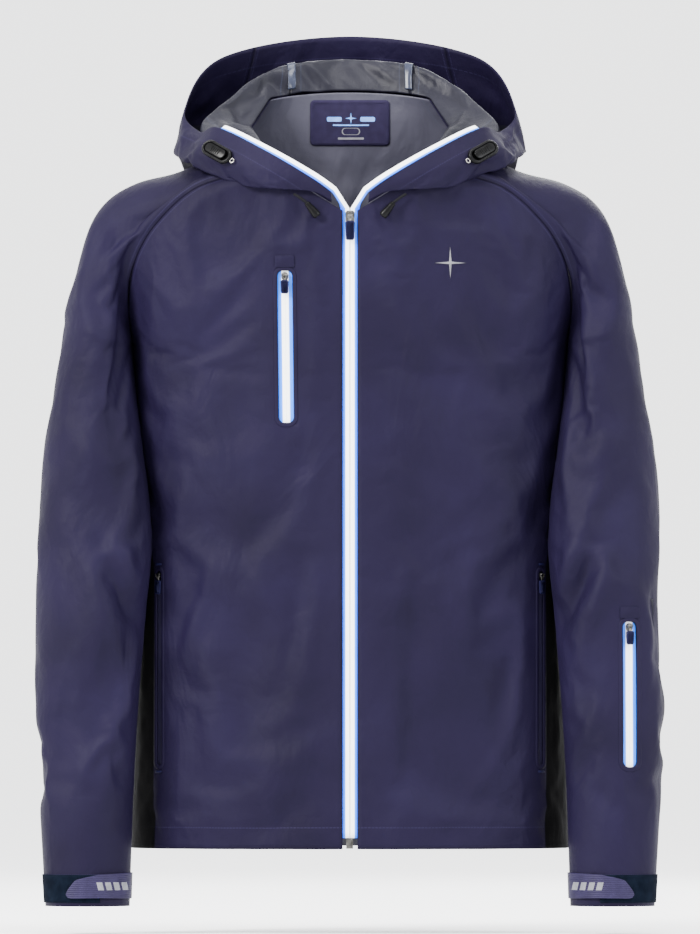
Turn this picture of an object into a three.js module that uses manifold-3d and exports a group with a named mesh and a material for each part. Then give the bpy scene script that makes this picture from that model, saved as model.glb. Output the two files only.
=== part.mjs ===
// Foul weather jacket in its worn shape, front zip closed to the chest and hood lying behind the neck.
// Millimetres, +Z up, the front faces -Y. "Right" is the wearer's right, at -X.
import * as THREE from 'three';
import { mergeVertices } from 'three/addons/utils/BufferGeometryUtils.js';
import Module from 'manifold-3d';

const wasm = await Module();
wasm.setup();

// Driving dimensions.
const bodyWidth = 468;            // hem, side to side
const bodyDepth = 249;            // hem, front to back
const bodyLength = 688;           // hem to the top of the closed front zip
const sleeveDrop = 599;           // armpit to the end of the cuff
const fabricThickness = 1.4;
const seamGap = 0.9;              // between two panels that are sewn together
const layerGap = 0.3;             // between pieces that lie on each other
const zipWindowHalf = 8;          // front panel edge to the middle of the front zip
const tapeThickness = 1;
const tapeUnderlap = 5;           // tape hidden behind the panel edge
const tapeSplit = 0.8;            // middle of a zip to its tape edge
const coilWidth = 2.4;
const coilThickness = 2;
const tapeSink = 2;               // panel middle to tape middle, front zip
const frontSlider = { width: 10.4, length: 18, plate: 1.5, pullWidth: 10.4, pullLength: 26 };
const pocketSlider = { width: 8, length: 9, plate: 1.3, pullWidth: 9.2, pullLength: 20 };
const retainerHeight = 10;
const cuffTab = { height: 27, thickness: 1.6, reach: 0.327 };
const cuffPatchHeight = 29;
const patchThickness = 0.8;
const adjuster = { length: 40, width: 18, depth: 4.2, wall: 3.2, travel: 1.5 };
const cordDiameter = 3;
const bell = { radius: 4.5, length: 19, bore: 16, clearance: 0.6 };
const label = { width: 86, height: 49, bottom: 754 };
const chestZip = { length: 163, window: 16.5 };
const forearmZip = { length: 156, window: 15.5 };
const handZip = { length: 208, window: 9 };

// The base pattern was drafted at these sizes, and is graded to the driving dimensions.
const pattern = { width: 468, depth: 249, length: 688, drop: 599, armpit: 538 };
const neckHeight = 811;           // back of the neck, in the pattern
const frontNeckHeight = 682;      // neck edge beside the zip, in the pattern
const gradeX = bodyWidth / pattern.width;
const gradeY = bodyDepth / pattern.depth;
const gradeZ = bodyLength / pattern.length;
const armpitHeight = pattern.armpit * gradeZ;

const navy = 0x24264a;
const lining = 0x6d6f7a;
const black = 0x17181c;
const metal = 0x6f7074;

// A smooth value along rows of [station, value, value, ...].
function along(rows, station) {
  const last = rows.length - 1;
  let i = 0;
  while (i < last - 1 && station > rows[i + 1][0]) i += 1;
  const span = rows[i + 1][0] - rows[i][0];
  const t = (station - rows[i][0]) / span;
  return rows[i].slice(1).map((from, k) => {
    const c = k + 1;
    const to = rows[i + 1][c];
    const slope = (a, b) => (rows[b][c] - rows[a][c]) / (rows[b][0] - rows[a][0]);
    const before = i > 0 ? slope(i - 1, i + 1) : slope(i, i + 1);
    const after = i + 1 < last ? slope(i, i + 2) : slope(i, i + 1);
    const t2 = t * t;
    const t3 = t2 * t;
    return from * (2 * t3 - 3 * t2 + 1) + to * (3 * t2 - 2 * t3)
      + before * span * (t3 - 2 * t2 + t) + after * span * (t3 - t2);
  });
}

const graded = ([x, y, z]) => new THREE.Vector3(x * gradeX, y * gradeY, z * gradeZ);

// Torso: a rounded box in plan, its half widths and depths by height.
const roundness = 2.4;
const frontHalfWidths = [[0, 234], [150, 230], [330, 226], [450, 229], [538, 233], [572, 240], [608, 247],
  [640, 247], [672, 236], [706, 204], [722, 165], [735, 100]];
const backHalfWidths = [[0, 234], [150, 230], [330, 226], [450, 229], [538, 233], [572, 240], [612, 247],
  [650, 245], [690, 225], [735, 190], [772, 150], [803, 110], [811, 104]];
const frontDepths = [[0, 131], [735, 111.4]];
const backDepths = [[0, 118], [300, 110], [450, 116], [560, 122], [640, 116], [700, 104], [740, 94],
  [780, 87], [811, 86]];
const bulge = (share) => Math.max(0, 1 - Math.min(1, share) ** roundness) ** (1 / roundness);

// A point on the front or the back of the torso, from pattern x and height.
function torsoPoint(x, z, back = false) {
  const halfWidth = along(back ? backHalfWidths : frontHalfWidths, z)[0];
  const depth = along(back ? backDepths : frontDepths, z)[0];
  const y = depth * bulge(Math.abs(x) / halfWidth);
  return graded([x, back ? y : -y, z]);
}

// Raglan seams as [station, share of half width, height], from the neck (0) to the armpit (7).
const frontSeam = [[0, 0.84, 735], [1, 0.73, 722], [2, 0.81, 706], [3, 0.865, 672], [4, 0.912, 640],
  [5, 0.95, 608], [6, 0.985, 572], [7, 1, 538]];
const backSeam = [[0, 0.78, 803], [1, 0.72, 772], [2, 0.77, 735], [3, 0.86, 690], [4, 0.905, 650],
  [5, 0.95, 612], [6, 0.985, 572], [7, 1, 538]];
const neckStation = 0;
const armpitStation = 7;
const cuffStation = 14;
const bodyRows = 8;
const seamRows = 10;
const sleeveRows = 10;             // below the armpit

function seamPoint(station, back) {
  const [share, z] = along(back ? backSeam : frontSeam, station);
  return { x: share * along(back ? backHalfWidths : frontHalfWidths, z)[0], z, share };
}

// Rows of a torso panel climb the side seam, then the raglan seam.
function sideOf(t, back) {
  const row = t * (bodyRows + seamRows);
  if (row > bodyRows) return seamPoint(armpitStation * (1 - (row - bodyRows) / seamRows), back);
  const z = pattern.armpit * row / bodyRows;
  return { x: along(frontHalfWidths, z)[0], z, share: 1 };
}

// The outermost column steps back from the seam line, along the cloth, by half the seam's gap.
const edgeProbe = 0.004;

function steppedBack(curve, share) {
  if (share < 1 - edgeProbe / 2) return curve(share);
  const seam = curve(1);
  return seam.add(curve(1 - edgeProbe).sub(seam).setLength(seamGap / 2));
}

function frontSurface(side) {
  return (s, t) => {
    const edge = sideOf(t, false);
    const middle = edge.z * frontNeckHeight / frontSeam[0][2];
    const turn = Math.asin(Math.min(1, edge.share));
    const inner = zipWindowHalf / gradeX;
    return steppedBack((share) => {
      const x = inner + (edge.x - inner) * Math.sin(share * turn) / Math.sin(turn);
      return torsoPoint(side * x, middle + (edge.z - middle) * share);
    }, s);
  };
}

function backSurface(s, t) {
  const side = s < 0.5 ? -1 : 1;
  const edge = sideOf(t, true);
  const middle = edge.z * neckHeight / backSeam[0][2];
  const turn = Math.asin(Math.min(1, edge.share));
  return steppedBack((share) => {
    const x = side * edge.x * Math.sin(share * turn) / Math.sin(turn);
    return torsoPoint(x, middle + (edge.z - middle) * share * share, true);
  }, Math.abs(2 * s - 1));
}

// Sleeve: the shoulder and outer line, the inner line below the armpit, and the half depth there.
const outerLine = [[0, 106, 2, 771], [1, 150, 2, 751], [2, 192, 0, 732], [3, 235, -4, 721], [4, 268, -10, 701],
  [5, 289, -16, 668], [6, 303, -22, 612], [7, 312, -28, 560], [8, 322, -36, 490], [9, 330, -44, 430],
  [10, 337, -60, 330], [11, 339, -71, 240], [12, 338, -83, 150], [13, 332, -91, 60], [14, 325, -97, -61]];
const innerLine = [[7, 233, 0, 538], [8, 229, -16, 490], [9, 221, -36, 430], [10, 212, -62, 335],
  [11, 219, -73, 250], [12, 227, -83, 150], [13, 232, -90, 60], [14, 236, -95, -61]];
const halfDepths = [[7, 75], [8, 72], [9, 68], [10, 62], [11, 58], [12, 53], [13, 49], [14, 47]];
const frontHandles = [[0, 7, 24, 12], [1, 8, 10, 22], [2, 8, 2, 20], [3, 14, -6, 24], [4, 22, -12, 20],
  [5, 28, -24, 10], [6, 34, -50, 4], [7, 0, -100, 0]];
const backHandles = [[0, 6, -18, -10], [1, 14, -10, -6], [2, 14, -6, 8], [3, 14, 4, 20], [4, 22, 12, 20],
  [5, 28, 22, 10], [6, 34, 48, 4], [7, 0, 100, 0]];
const topHandles = [[0, 24, 20], [1, 45, 35], [2, 42, 40], [3, 45, 42], [4, 48, 46], [5, 58, 56], [6, 80, 78],
  [7, 100, 100]];

// Sleeve points hang from the armpit, so their own length can be set.
function sleeveVector([x, y, z]) {
  const point = graded([x, y, z]);
  if (z < pattern.armpit) {
    point.z = armpitHeight - (pattern.armpit - z) * sleeveDrop / pattern.drop;
  }
  return point;
}

// The sleeve hangs in front of the torso's side and never enters it.
const clearances = [[4.4, 0], [5.8, 2.1], [7, 2.3], [8, 4.2], [14, 4.2]];

function clearOfTorso(point, clearance) {
  const z = THREE.MathUtils.clamp(point.z / gradeZ, 0, 640);
  const front = point.y < 0;
  const halfWidth = along(frontHalfWidths, z)[0] * gradeX + clearance;
  const depth = along(front ? frontDepths : backDepths, z)[0] * gradeY + clearance;
  const reach = ((Math.abs(point.x) / halfWidth) ** roundness
    + (Math.abs(point.y) / depth) ** roundness) ** (1 / roundness);
  if (reach < 1 && point.z > -20) {
    point.x /= reach;
    point.y /= reach;
  }
  return point;
}

// Station 0 is the neck and 14 the cuff; around 0 is the front seam, 0.5 the outer line, 1 the back seam.
function sleevePoint(side, around, station) {
  const back = around > 0.5;
  const t = back ? 2 - 2 * around : 2 * around;
  const outer = along(outerLine, station);
  let seam;
  let seamHandle;
  let outerHandle;
  if (station < armpitStation) {
    const { x, z } = seamPoint(station, back);
    const depthRows = back ? backDepths : frontDepths;
    const widthRows = back ? backHalfWidths : frontHalfWidths;
    const y = along(depthRows, z)[0] * bulge(x / along(widthRows, z)[0]);
    seam = [x, back ? y : -y, z];
    seamHandle = along(back ? backHandles : frontHandles, station);
    const reach = along(topHandles, station)[back ? 1 : 0];
    outerHandle = [0, back ? reach : -reach, 0];
  } else {
    seam = along(innerLine, station);
    const reach = along(halfDepths, station)[0] * 4 / 3;
    seamHandle = [0, back ? reach : -reach, 0];
    outerHandle = seamHandle;
  }
  const curve = new THREE.CubicBezierCurve3(
    new THREE.Vector3(...seam),
    new THREE.Vector3(...seam).add(new THREE.Vector3(...seamHandle)),
    new THREE.Vector3(...outer).add(new THREE.Vector3(...outerHandle)),
    new THREE.Vector3(...outer),
  );
  const point = sleeveVector(curve.getPoint(t).toArray());
  if (station > clearances[0][0]) clearOfTorso(point, along(clearances, station)[0]);
  point.x *= side;
  return point;
}

// Hood: rails from the top of the front zip (0) round the neck to the middle of the back (7).
const ridgeRail = [[0, 8.3, -113.8, 685], [1, 37.4, -114.2, 702.9], [2, 66, -111, 725], [3, 110, -68, 753],
  [4, 152, -18, 778], [5, 143, 18, 799], [6, 88, 80, 834], [7, 0, 103, 846]];
const dropRail = [[0, 8.6, -114.5, 685.6], [1, 37.6, -116.4, 702.6], [2, 73, -112.5, 716], [3, 121, -86, 735],
  [4, 161, -36, 760], [5, 158, 12, 771], [6, 100, 100, 762], [7, 0, 124, 765]];
const floorRail = [[0, 8.8, -115, 686.6], [1, 38, -118.6, 702.4], [2, 80, -114, 706], [3, 131, -98, 715],
  [4, 174, -66, 731], [5, 190, -2, 746], [5.5, 179, 58, 737], [6, 140, 122, 694], [7, 0, 150, 680]];
const bellyRail = [[0, 9.1, -115.5, 689.5], [1, 39, -120.6, 708.5], [2, 88, -117, 724], [3, 140, -92, 742],
  [4, 174, -60, 749], [5, 187, 8, 763], [6, 158, 132, 772], [7, 0, 190, 770]];
const edgeRail = [[0, 9.4, -115.8, 693], [1, 40, -121, 716], [2, 92, -107, 747], [3, 141, -68, 771],
  [4, 161, -24, 767], [5, 177, 22, 793], [6, 136, 118, 850], [7, 0, 172, 873]];
const hoodRails = [ridgeRail, dropRail, floorRail, bellyRail, edgeRail];
const neckLift = fabricThickness / 2 + seamGap + 0.6;

// The hood's lowest line follows the tops of the front panel, the sleeve and the back panel.
function neckPoint(side, station) {
  let point;
  if (station < 3) point = frontSurface(side)(station / 3 * 0.99, 1);
  else if (station < 6) point = sleevePoint(side, (station - 3) / 3, neckStation);
  else point = backSurface(0.5 + side * 0.495 * (7 - station), 1);
  point.z += neckLift;
  return point;
}

const hoodFront = 0.4;
const hoodSplit = 6.3;
const hoodSeamStep = seamGap / 180;

// Across 0 is the neck seam and 5 the free edge.
function hoodPoint(side, station, across) {
  const neck = neckPoint(side, station);
  const column = hoodRails.map((rail, i) => {
    const [x, y, z] = graded(along(rail, station)).toArray();
    return [i + 1, side * x, y, z];
  });
  return new THREE.Vector3(...along([[0, ...neck.toArray()], ...column], across));
}

// The way out of a surface, on the side that its two directions turn towards.
function normalOf(surface, s, t) {
  const step = 1e-3;
  const s0 = THREE.MathUtils.clamp(s, step, 1 - step);
  const t0 = THREE.MathUtils.clamp(t, step, 1 - step);
  const alongS = surface(s0 + step, t0).sub(surface(s0 - step, t0));
  const alongT = surface(s0, t0 + step).sub(surface(s0, t0 - step));
  return alongS.cross(alongT).normalize();
}

// A closed sheet of even thickness on a surface, moved out along the normal by an offset.
function sheet(surface, columns, rows, thickness = fabricThickness, offset = () => 0) {
  const geometry = new THREE.BoxGeometry(1, 1, 1, columns, rows, 1);
  const position = geometry.attributes.position;
  for (let i = 0; i < position.count; i += 1) {
    const s = position.getX(i) + 0.5;
    const t = position.getY(i) + 0.5;
    const lift = position.getZ(i) * thickness + offset(s, t);
    const point = surface(s, t).addScaledVector(normalOf(surface, s, t), lift);
    position.setXYZ(i, point.x, point.y, point.z);
  }
  return geometry;
}

// Boolean helpers.
function bare(geometry) {
  const copy = geometry.clone();
  copy.deleteAttribute('normal');
  copy.deleteAttribute('uv');
  return mergeVertices(copy, 1e-5);
}

function solidOf(geometry) {
  const merged = bare(geometry);
  const triVerts = new Uint32Array(merged.index.array);
  const vertProperties = new Float32Array(merged.attributes.position.array);
  return new wasm.Manifold(new wasm.Mesh({ numProp: 3, vertProperties, triVerts }));
}

function geometryOf(solid) {
  const mesh = solid.getMesh();
  const geometry = new THREE.BufferGeometry();
  geometry.setAttribute('position', new THREE.BufferAttribute(new Float32Array(mesh.vertProperties), 3));
  geometry.setIndex(new THREE.BufferAttribute(new Uint32Array(mesh.triVerts), 1));
  return geometry;
}

function joined(...geometries) {
  return geometryOf(geometries.map(solidOf).reduce((whole, piece) => whole.add(piece)));
}

function cut(geometry, ...tools) {
  return geometryOf(tools.map(solidOf).reduce((whole, tool) => whole.subtract(tool), solidOf(geometry)));
}

const jacket = new THREE.Group();
const collarRest = torsoPoint(0, neckHeight, true);     // inside the back neck, where a hanger or neck carries it
jacket.position.copy(collarRest).negate();

function addPiece(name, geometry, color, roughness, metalness = 0, frame = null) {
  const mesh = new THREE.Mesh(geometry, new THREE.MeshStandardMaterial({ color, roughness, metalness }));
  mesh.name = name;
  if (frame) frame.decompose(mesh.position, mesh.quaternion, mesh.scale);
  jacket.add(mesh);
}

// A frame with X across, Y out of the surface and Z along.
function frameAt(origin, alongAxis, outward) {
  const z = alongAxis.clone().normalize();
  const x = new THREE.Vector3().crossVectors(outward, z).normalize();
  const y = new THREE.Vector3().crossVectors(z, x);
  return new THREE.Matrix4().makeBasis(x, y, z).setPosition(origin);
}

const sides = [['right', -1], ['left', 1]];

// Flat outlines lie in X and Z and get their thickness from y0 to y1.
function plate(shape, y0, y1, curveSegments = 6) {
  const geometry = new THREE.ExtrudeGeometry(shape, { depth: y1 - y0, bevelEnabled: false, curveSegments });
  geometry.rotateX(Math.PI / 2);
  geometry.translate(0, y1, 0);
  return geometry;
}

function roundedOutline(width, bottom, top, radius) {
  const half = width / 2;
  const corner = Math.min(radius, half, (top - bottom) / 2);
  const shape = new THREE.Shape();
  shape.moveTo(-half + corner, bottom);
  shape.lineTo(half - corner, bottom);
  shape.absarc(half - corner, bottom + corner, corner, -Math.PI / 2, 0);
  shape.lineTo(half, top - corner);
  shape.absarc(half - corner, top - corner, corner, 0, Math.PI / 2);
  shape.lineTo(-half + corner, top);
  shape.absarc(-half + corner, top - corner, corner, Math.PI / 2, Math.PI);
  shape.lineTo(-half, bottom + corner);
  shape.absarc(-half + corner, bottom + corner, corner, Math.PI, Math.PI * 1.5);
  return shape;
}

// In a zip's frame Y is out of the cloth and the tape's front face is at y = 0.
const pullClearance = 0.9;
const pullNeck = { half: 1.9, radius: 2.1, bore: 1.25, bar: 0.85 };

function barCentre(slider) {
  return { y: layerGap + slider.plate + pullNeck.radius + pullClearance, z: slider.length * 0.18 };
}

function sliderGeometry(slider) {
  const half = slider.length / 2;
  const outer = plate(roundedOutline(slider.width, -half, half, 3), layerGap, layerGap + slider.plate, 2);
  const behind = -tapeThickness - coilThickness - 2 * layerGap - 0.3;
  const inner = plate(roundedOutline(slider.width, -half, half, 3), behind - slider.plate, behind, 2);
  const post = new THREE.BoxGeometry(2 * (tapeSplit - 0.4), layerGap - behind + 0.4, half * 0.5);
  post.translate(0, (layerGap + behind) / 2, half * 0.7);
  const { y, z } = barCentre(slider);
  const ears = [-1, 1].map((side) => {
    const ear = new THREE.BoxGeometry(0.9, y + pullNeck.bar - layerGap - 0.2, 3);
    ear.translate(side * (pullNeck.half + layerGap + 0.45), (y + pullNeck.bar + layerGap + 0.2) / 2, z);
    return ear;
  });
  const bar = new THREE.CylinderGeometry(pullNeck.bar, pullNeck.bar, 2 * pullNeck.half + 1.6, 8);
  bar.rotateZ(Math.PI / 2);
  bar.translate(0, y, z);
  return joined(outer, inner, post, ...ears, bar);
}

// The pull hangs from the slider's bar, which is at its own origin.
function pullGeometry(slider) {
  const neckDrop = 4.6;
  const eye = new THREE.CylinderGeometry(pullNeck.radius, pullNeck.radius, 2 * pullNeck.half, 10);
  eye.rotateZ(Math.PI / 2);
  const neck = new THREE.BoxGeometry(2 * pullNeck.half, 1.8, neckDrop);
  neck.translate(0, 0, -neckDrop / 2);
  const tab = plate(roundedOutline(slider.pullWidth, -slider.pullLength, -neckDrop + 0.8, 2.2), -1, 1, 2);
  const bore = new THREE.CylinderGeometry(pullNeck.bore, pullNeck.bore, 4 * pullNeck.half, 8);
  bore.rotateZ(Math.PI / 2);
  return cut(joined(eye, neck, tab), bore);
}

// Pocket zips: a tape sealed behind a window in the cloth, its coil, slider, pull and bag.
const windowCuts = {};

function pocketZip(name, middle, alongAxis, outward, size, sink, color) {
  const windowFrame = frameAt(middle, alongAxis, outward);
  const half = size.length / 2;
  const hole = plate(roundedOutline(size.window, -half, half, 3.5), -6, 6, 3);
  windowCuts[name] = hole.applyMatrix4(windowFrame);
  const origin = middle.clone().addScaledVector(outward, -sink + tapeThickness / 2);
  const frame = frameAt(origin, alongAxis, outward);
  const outline = roundedOutline(size.window + tapeUnderlap, -half - 3, half + 3, 3);
  const slit = new THREE.Path([[-1, -half + 3], [-1, half - 1], [1, half - 1], [1, -half + 3], [-1, -half + 3]]
    .map(([x, z]) => new THREE.Vector2(x * tapeSplit, z)));
  outline.holes.push(slit);
  addPiece(`${name}_tape`, plate(outline, -tapeThickness, 0, 3), color, 0.6, 0, frame);
  const coilTop = -tapeThickness - layerGap;
  const coils = [-1, 1].map((side) => {
    const coil = new THREE.BoxGeometry(coilWidth, coilThickness, size.length - 4);
    return coil.translate(side * (tapeSplit + coilWidth / 2), coilTop - coilThickness / 2, 0);
  });
  const stop = new THREE.BoxGeometry(2 * tapeSplit + coilWidth, coilThickness, 2);
  stop.translate(0, coilTop - coilThickness / 2, -half + 3);
  addPiece(`${name}_coil`, joined(...coils, stop), black, 0.5, 0, frame);
  const start = half - 2 - pocketSlider.length / 2;
  const sliderFrame = frame.clone().multiply(new THREE.Matrix4().makeTranslation(0, 0, start));
  addPiece(`${name}_slider`, sliderGeometry(pocketSlider), metal, 0.35, 0.9, sliderFrame);
  const { y, z } = barCentre(pocketSlider);
  const pullFrame = sliderFrame.clone().multiply(new THREE.Matrix4().makeTranslation(0, y, z));
  addPiece(`${name}_pull`, pullGeometry(pocketSlider), navy, 0.5, 0, pullFrame);
}

// Chest pocket zip on the right front, nearly upright.
const chestMiddleHeight = 536.5;
const chestBottom = torsoPoint(-67.9, chestMiddleHeight - 81.5);
const chestTop = torsoPoint(-69.8, chestMiddleHeight + 81.5);
function surfaceNormal(pointAt, x, z) {
  const across = pointAt(x + 1, z).sub(pointAt(x - 1, z));
  const up = pointAt(x, z + 1).sub(pointAt(x, z - 1));
  return across.cross(up).normalize();
}
const chestMiddle = chestBottom.clone().add(chestTop).multiplyScalar(0.5);
pocketZip('chest', chestMiddle, chestTop.clone().sub(chestBottom), surfaceNormal(torsoPoint, -69, 536),
  chestZip, 2.2, 0xf4f6fa);

// Hand pocket zips close to the side seams.
const handMiddleHeight = 193;
const handReach = 204;
for (const [sideName, side] of sides) {
  const low = torsoPoint(side * handReach, handMiddleHeight - 100);
  const high = torsoPoint(side * handReach, handMiddleHeight + 100);
  const middle = low.clone().add(high).multiplyScalar(0.5);
  const outward = surfaceNormal(torsoPoint, side * handReach, handMiddleHeight);
  pocketZip(`hand_${sideName}`, middle, high.sub(low), outward, handZip, 2.8, navy);
}

// Forearm pocket zip on the left sleeve.
const forearmAround = 0.305;
const forearmStations = [12.72, 11.0];
const forearmPoint = (around, station) => sleevePoint(1, around, station);
const forearmLow = forearmPoint(forearmAround, forearmStations[0]);
const forearmHigh = forearmPoint(forearmAround, forearmStations[1]);
const forearmMiddle = forearmLow.clone().add(forearmHigh).multiplyScalar(0.5);
const forearmStation = (forearmStations[0] + forearmStations[1]) / 2;
const forearmOut = forearmPoint(forearmAround + 0.01, forearmStation)
  .sub(forearmPoint(forearmAround - 0.01, forearmStation))
  .cross(forearmPoint(forearmAround, forearmStation - 0.05).sub(forearmPoint(forearmAround, forearmStation)))
  .normalize();
pocketZip('forearm', forearmMiddle, forearmHigh.clone().sub(forearmLow), forearmOut, forearmZip, 3.2, 0xf4f6fa);

// Shell panels.
const frontWindows = { right: [windowCuts.chest, windowCuts.hand_right], left: [windowCuts.hand_left] };
for (const [sideName, side] of sides) {
  const panel = sheet(frontSurface(side), 10, bodyRows + seamRows);
  addPiece(`front_panel_${sideName}`, cut(panel, ...frontWindows[sideName]), navy, 0.62);
}
addPiece('back_panel', sheet(backSurface, 14, bodyRows + seamRows), navy, 0.62);
for (const [sideName, side] of sides) {
  const inset = 0.0035;
  const surface = (s, t) => {
    const row = t * (seamRows + sleeveRows);
    const above = row * armpitStation / seamRows;
    const below = armpitStation + (row - seamRows) * (cuffStation - armpitStation) / sleeveRows;
    return sleevePoint(side, inset + s * (1 - 2 * inset), row < seamRows ? above : below);
  };
  const sleeve = sheet(surface, 20, seamRows + sleeveRows);
  addPiece(`sleeve_${sideName}`, side > 0 ? cut(sleeve, windowCuts.forearm) : sleeve, navy, 0.62);
  const hoodSide = (s, t) => hoodPoint(side, hoodFront + s * (hoodSplit - hoodSeamStep - hoodFront), 5 * t);
  addPiece(`hood_side_${sideName}`, sheet(hoodSide, 16, 10), navy, 0.62);
}
const hoodCenter = (s, t) => {
  const across = 2 * s - 1;
  return hoodPoint(Math.sign(across) || 1, 7 - Math.abs(across) * (7 - hoodSplit - hoodSeamStep), 5 * t);
};
addPiece('hood_center_panel', sheet(hoodCenter, 4, 10), navy, 0.62);

// Pocket bags: single layers sealed to the inside of the cloth round their edge.
const bagDepth = 12;
const bagThickness = 0.8;
const bagRim = fabricThickness / 2 + bagThickness / 2 + seamGap;
const chestBag = { inner: -15, outer: -140, above: 22, below: 30 };
const handBag = { inner: 40, outer: 224, above: 39, below: 39 };
function pocketBag(name, surface, inward, color, rim = bagRim) {
  const rise = (s, t) => (Math.sin(Math.PI * s) * Math.sin(Math.PI * t)) ** 0.25;
  const offset = (s, t) => inward * (rim + bagDepth * rise(s, t));
  addPiece(`${name}_pocket_bag`, sheet(surface, 9, 7, bagThickness, offset), color, 0.7);
}

// A torso bag reaches a fixed way above and below its zip.
function bagPoint(from, to, middleHeight, size, bag) {
  const low = middleHeight - (size.length / 2 + bag.below) / gradeZ;
  const high = middleHeight + (size.length / 2 + bag.above) / gradeZ;
  return (s, t) => torsoPoint(from + (to - from) * s, low + (high - low) * t);
}
pocketBag('chest', bagPoint(chestBag.outer, chestBag.inner, chestMiddleHeight, chestZip, chestBag), -1, lining);
for (const [sideName, side] of sides) {
  const surface = bagPoint(side * handBag.inner, side * handBag.outer, handMiddleHeight, handZip, handBag);
  pocketBag(`hand_${sideName}`, surface, -side, lining);
}
pocketBag('forearm', (s, t) => sleevePoint(1, 0.19 + 0.23 * s, 13 - 2.3 * t), -1, lining,
  bagRim + seamGap);

// Front zip: straight on a sloping line, then along the hood's front edge.
const zipFoot = retainerHeight + 2;
const zipHead = 684;
const zipLine = (z) => torsoPoint(0, z);
const zipDirection = zipLine(zipHead).sub(zipLine(0)).normalize();
const zipOut = new THREE.Vector3().crossVectors(new THREE.Vector3(1, 0, 0), zipDirection).normalize();
const lapelFaces = [[0, 0, -1, 0], [1, 0, -0.95, 0.3], [2, -0.05, -0.8, 0.6], [3, -0.1, -0.7, 0.7]];
const straightRows = 10;
const lapelRows = 8;

// A strip that follows the zip at distances from its middle line, sunk behind the cloth.
function zipStrip(side, fromMiddle, toMiddle, sink) {
  return (s, t) => {
    const row = t * (straightRows + lapelRows);
    const free = row > straightRows - 0.5;
    const outer = free ? Math.min(toMiddle, zipWindowHalf - 0.6) : toMiddle;
    const distance = fromMiddle + (outer - fromMiddle) * s;
    if (row < straightRows + 0.01) {
      const z = zipFoot / gradeZ + (zipHead - zipFoot / gradeZ) * row / straightRows;
      const point = zipLine(z).addScaledVector(zipOut, -sink);
      point.x = side * distance;
      return point;
    }
    const station = 0.35 + (2.95 - 0.35) * (row - straightRows - 1) / (lapelRows - 1);
    const tangent = hoodPoint(side, station + 0.02, 5).sub(hoodPoint(side, station - 0.02, 5)).normalize();
    const [fx, fy, fz] = along(lapelFaces, station);
    const face = new THREE.Vector3(-side * fx, fy, fz).normalize();
    const width = new THREE.Vector3().crossVectors(tangent, face).multiplyScalar(-side).normalize();
    return hoodPoint(side, station, 5).addScaledVector(width, zipWindowHalf - distance)
      .addScaledVector(face, -sink);
  };
}

const coilSink = tapeSink + tapeThickness / 2 + layerGap + 0.3 + coilThickness / 2;
for (const [sideName, side] of sides) {
  const tape = zipStrip(side, tapeSplit, zipWindowHalf + tapeUnderlap, tapeSink);
  addPiece(`front_tape_${sideName}`, sheet(tape, 2, straightRows + lapelRows, tapeThickness), 0xf4f6fa, 0.5);
  const coil = zipStrip(side, tapeSplit, tapeSplit + coilWidth, coilSink);
  addPiece(`front_coil_${sideName}`, sheet(coil, 1, straightRows + lapelRows, coilThickness), black, 0.5);
}
const sliderHeight = 673;
const tapeFace = tapeSink - tapeThickness / 2;
const sliderOrigin = zipLine(sliderHeight).addScaledVector(zipOut, -tapeFace);
const sliderFrame = frameAt(sliderOrigin, zipDirection, zipOut);
addPiece('front_slider', sliderGeometry(frontSlider), metal, 0.35, 0.9, sliderFrame);
const bar = barCentre(frontSlider);
const pullFrame = sliderFrame.clone().multiply(new THREE.Matrix4().makeTranslation(0, bar.y, bar.z));
addPiece('front_pull', pullGeometry(frontSlider), navy, 0.5, 0, pullFrame);

// Retainer box on the right tape's foot and the insertion pin on the left tape's foot.
const footFrame = frameAt(zipLine(0).addScaledVector(zipOut, -tapeFace), zipDirection, zipOut);
const boxDepth = 5.4;
const retainer = new THREE.BoxGeometry(7.4, boxDepth, retainerHeight);
retainer.translate(0.4, -1.4, retainerHeight / 2 + 0.6);
const pinWidth = 1.5;
const socket = new THREE.BoxGeometry(pinWidth + 2 * layerGap, 2.2, retainerHeight);
socket.translate(-1.7, -1.9, retainerHeight / 2 + 3);
addPiece('retainer_box', cut(retainer, socket), metal, 0.35, 0.9, footFrame);
const pin = new THREE.BoxGeometry(pinWidth, 1.6, retainerHeight - 2.4);
pin.translate(-1.7, -1.9, (retainerHeight - 2.4) / 2 + 4.2);
addPiece('insertion_pin', pin, metal, 0.35, 0.9, footFrame);

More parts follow.
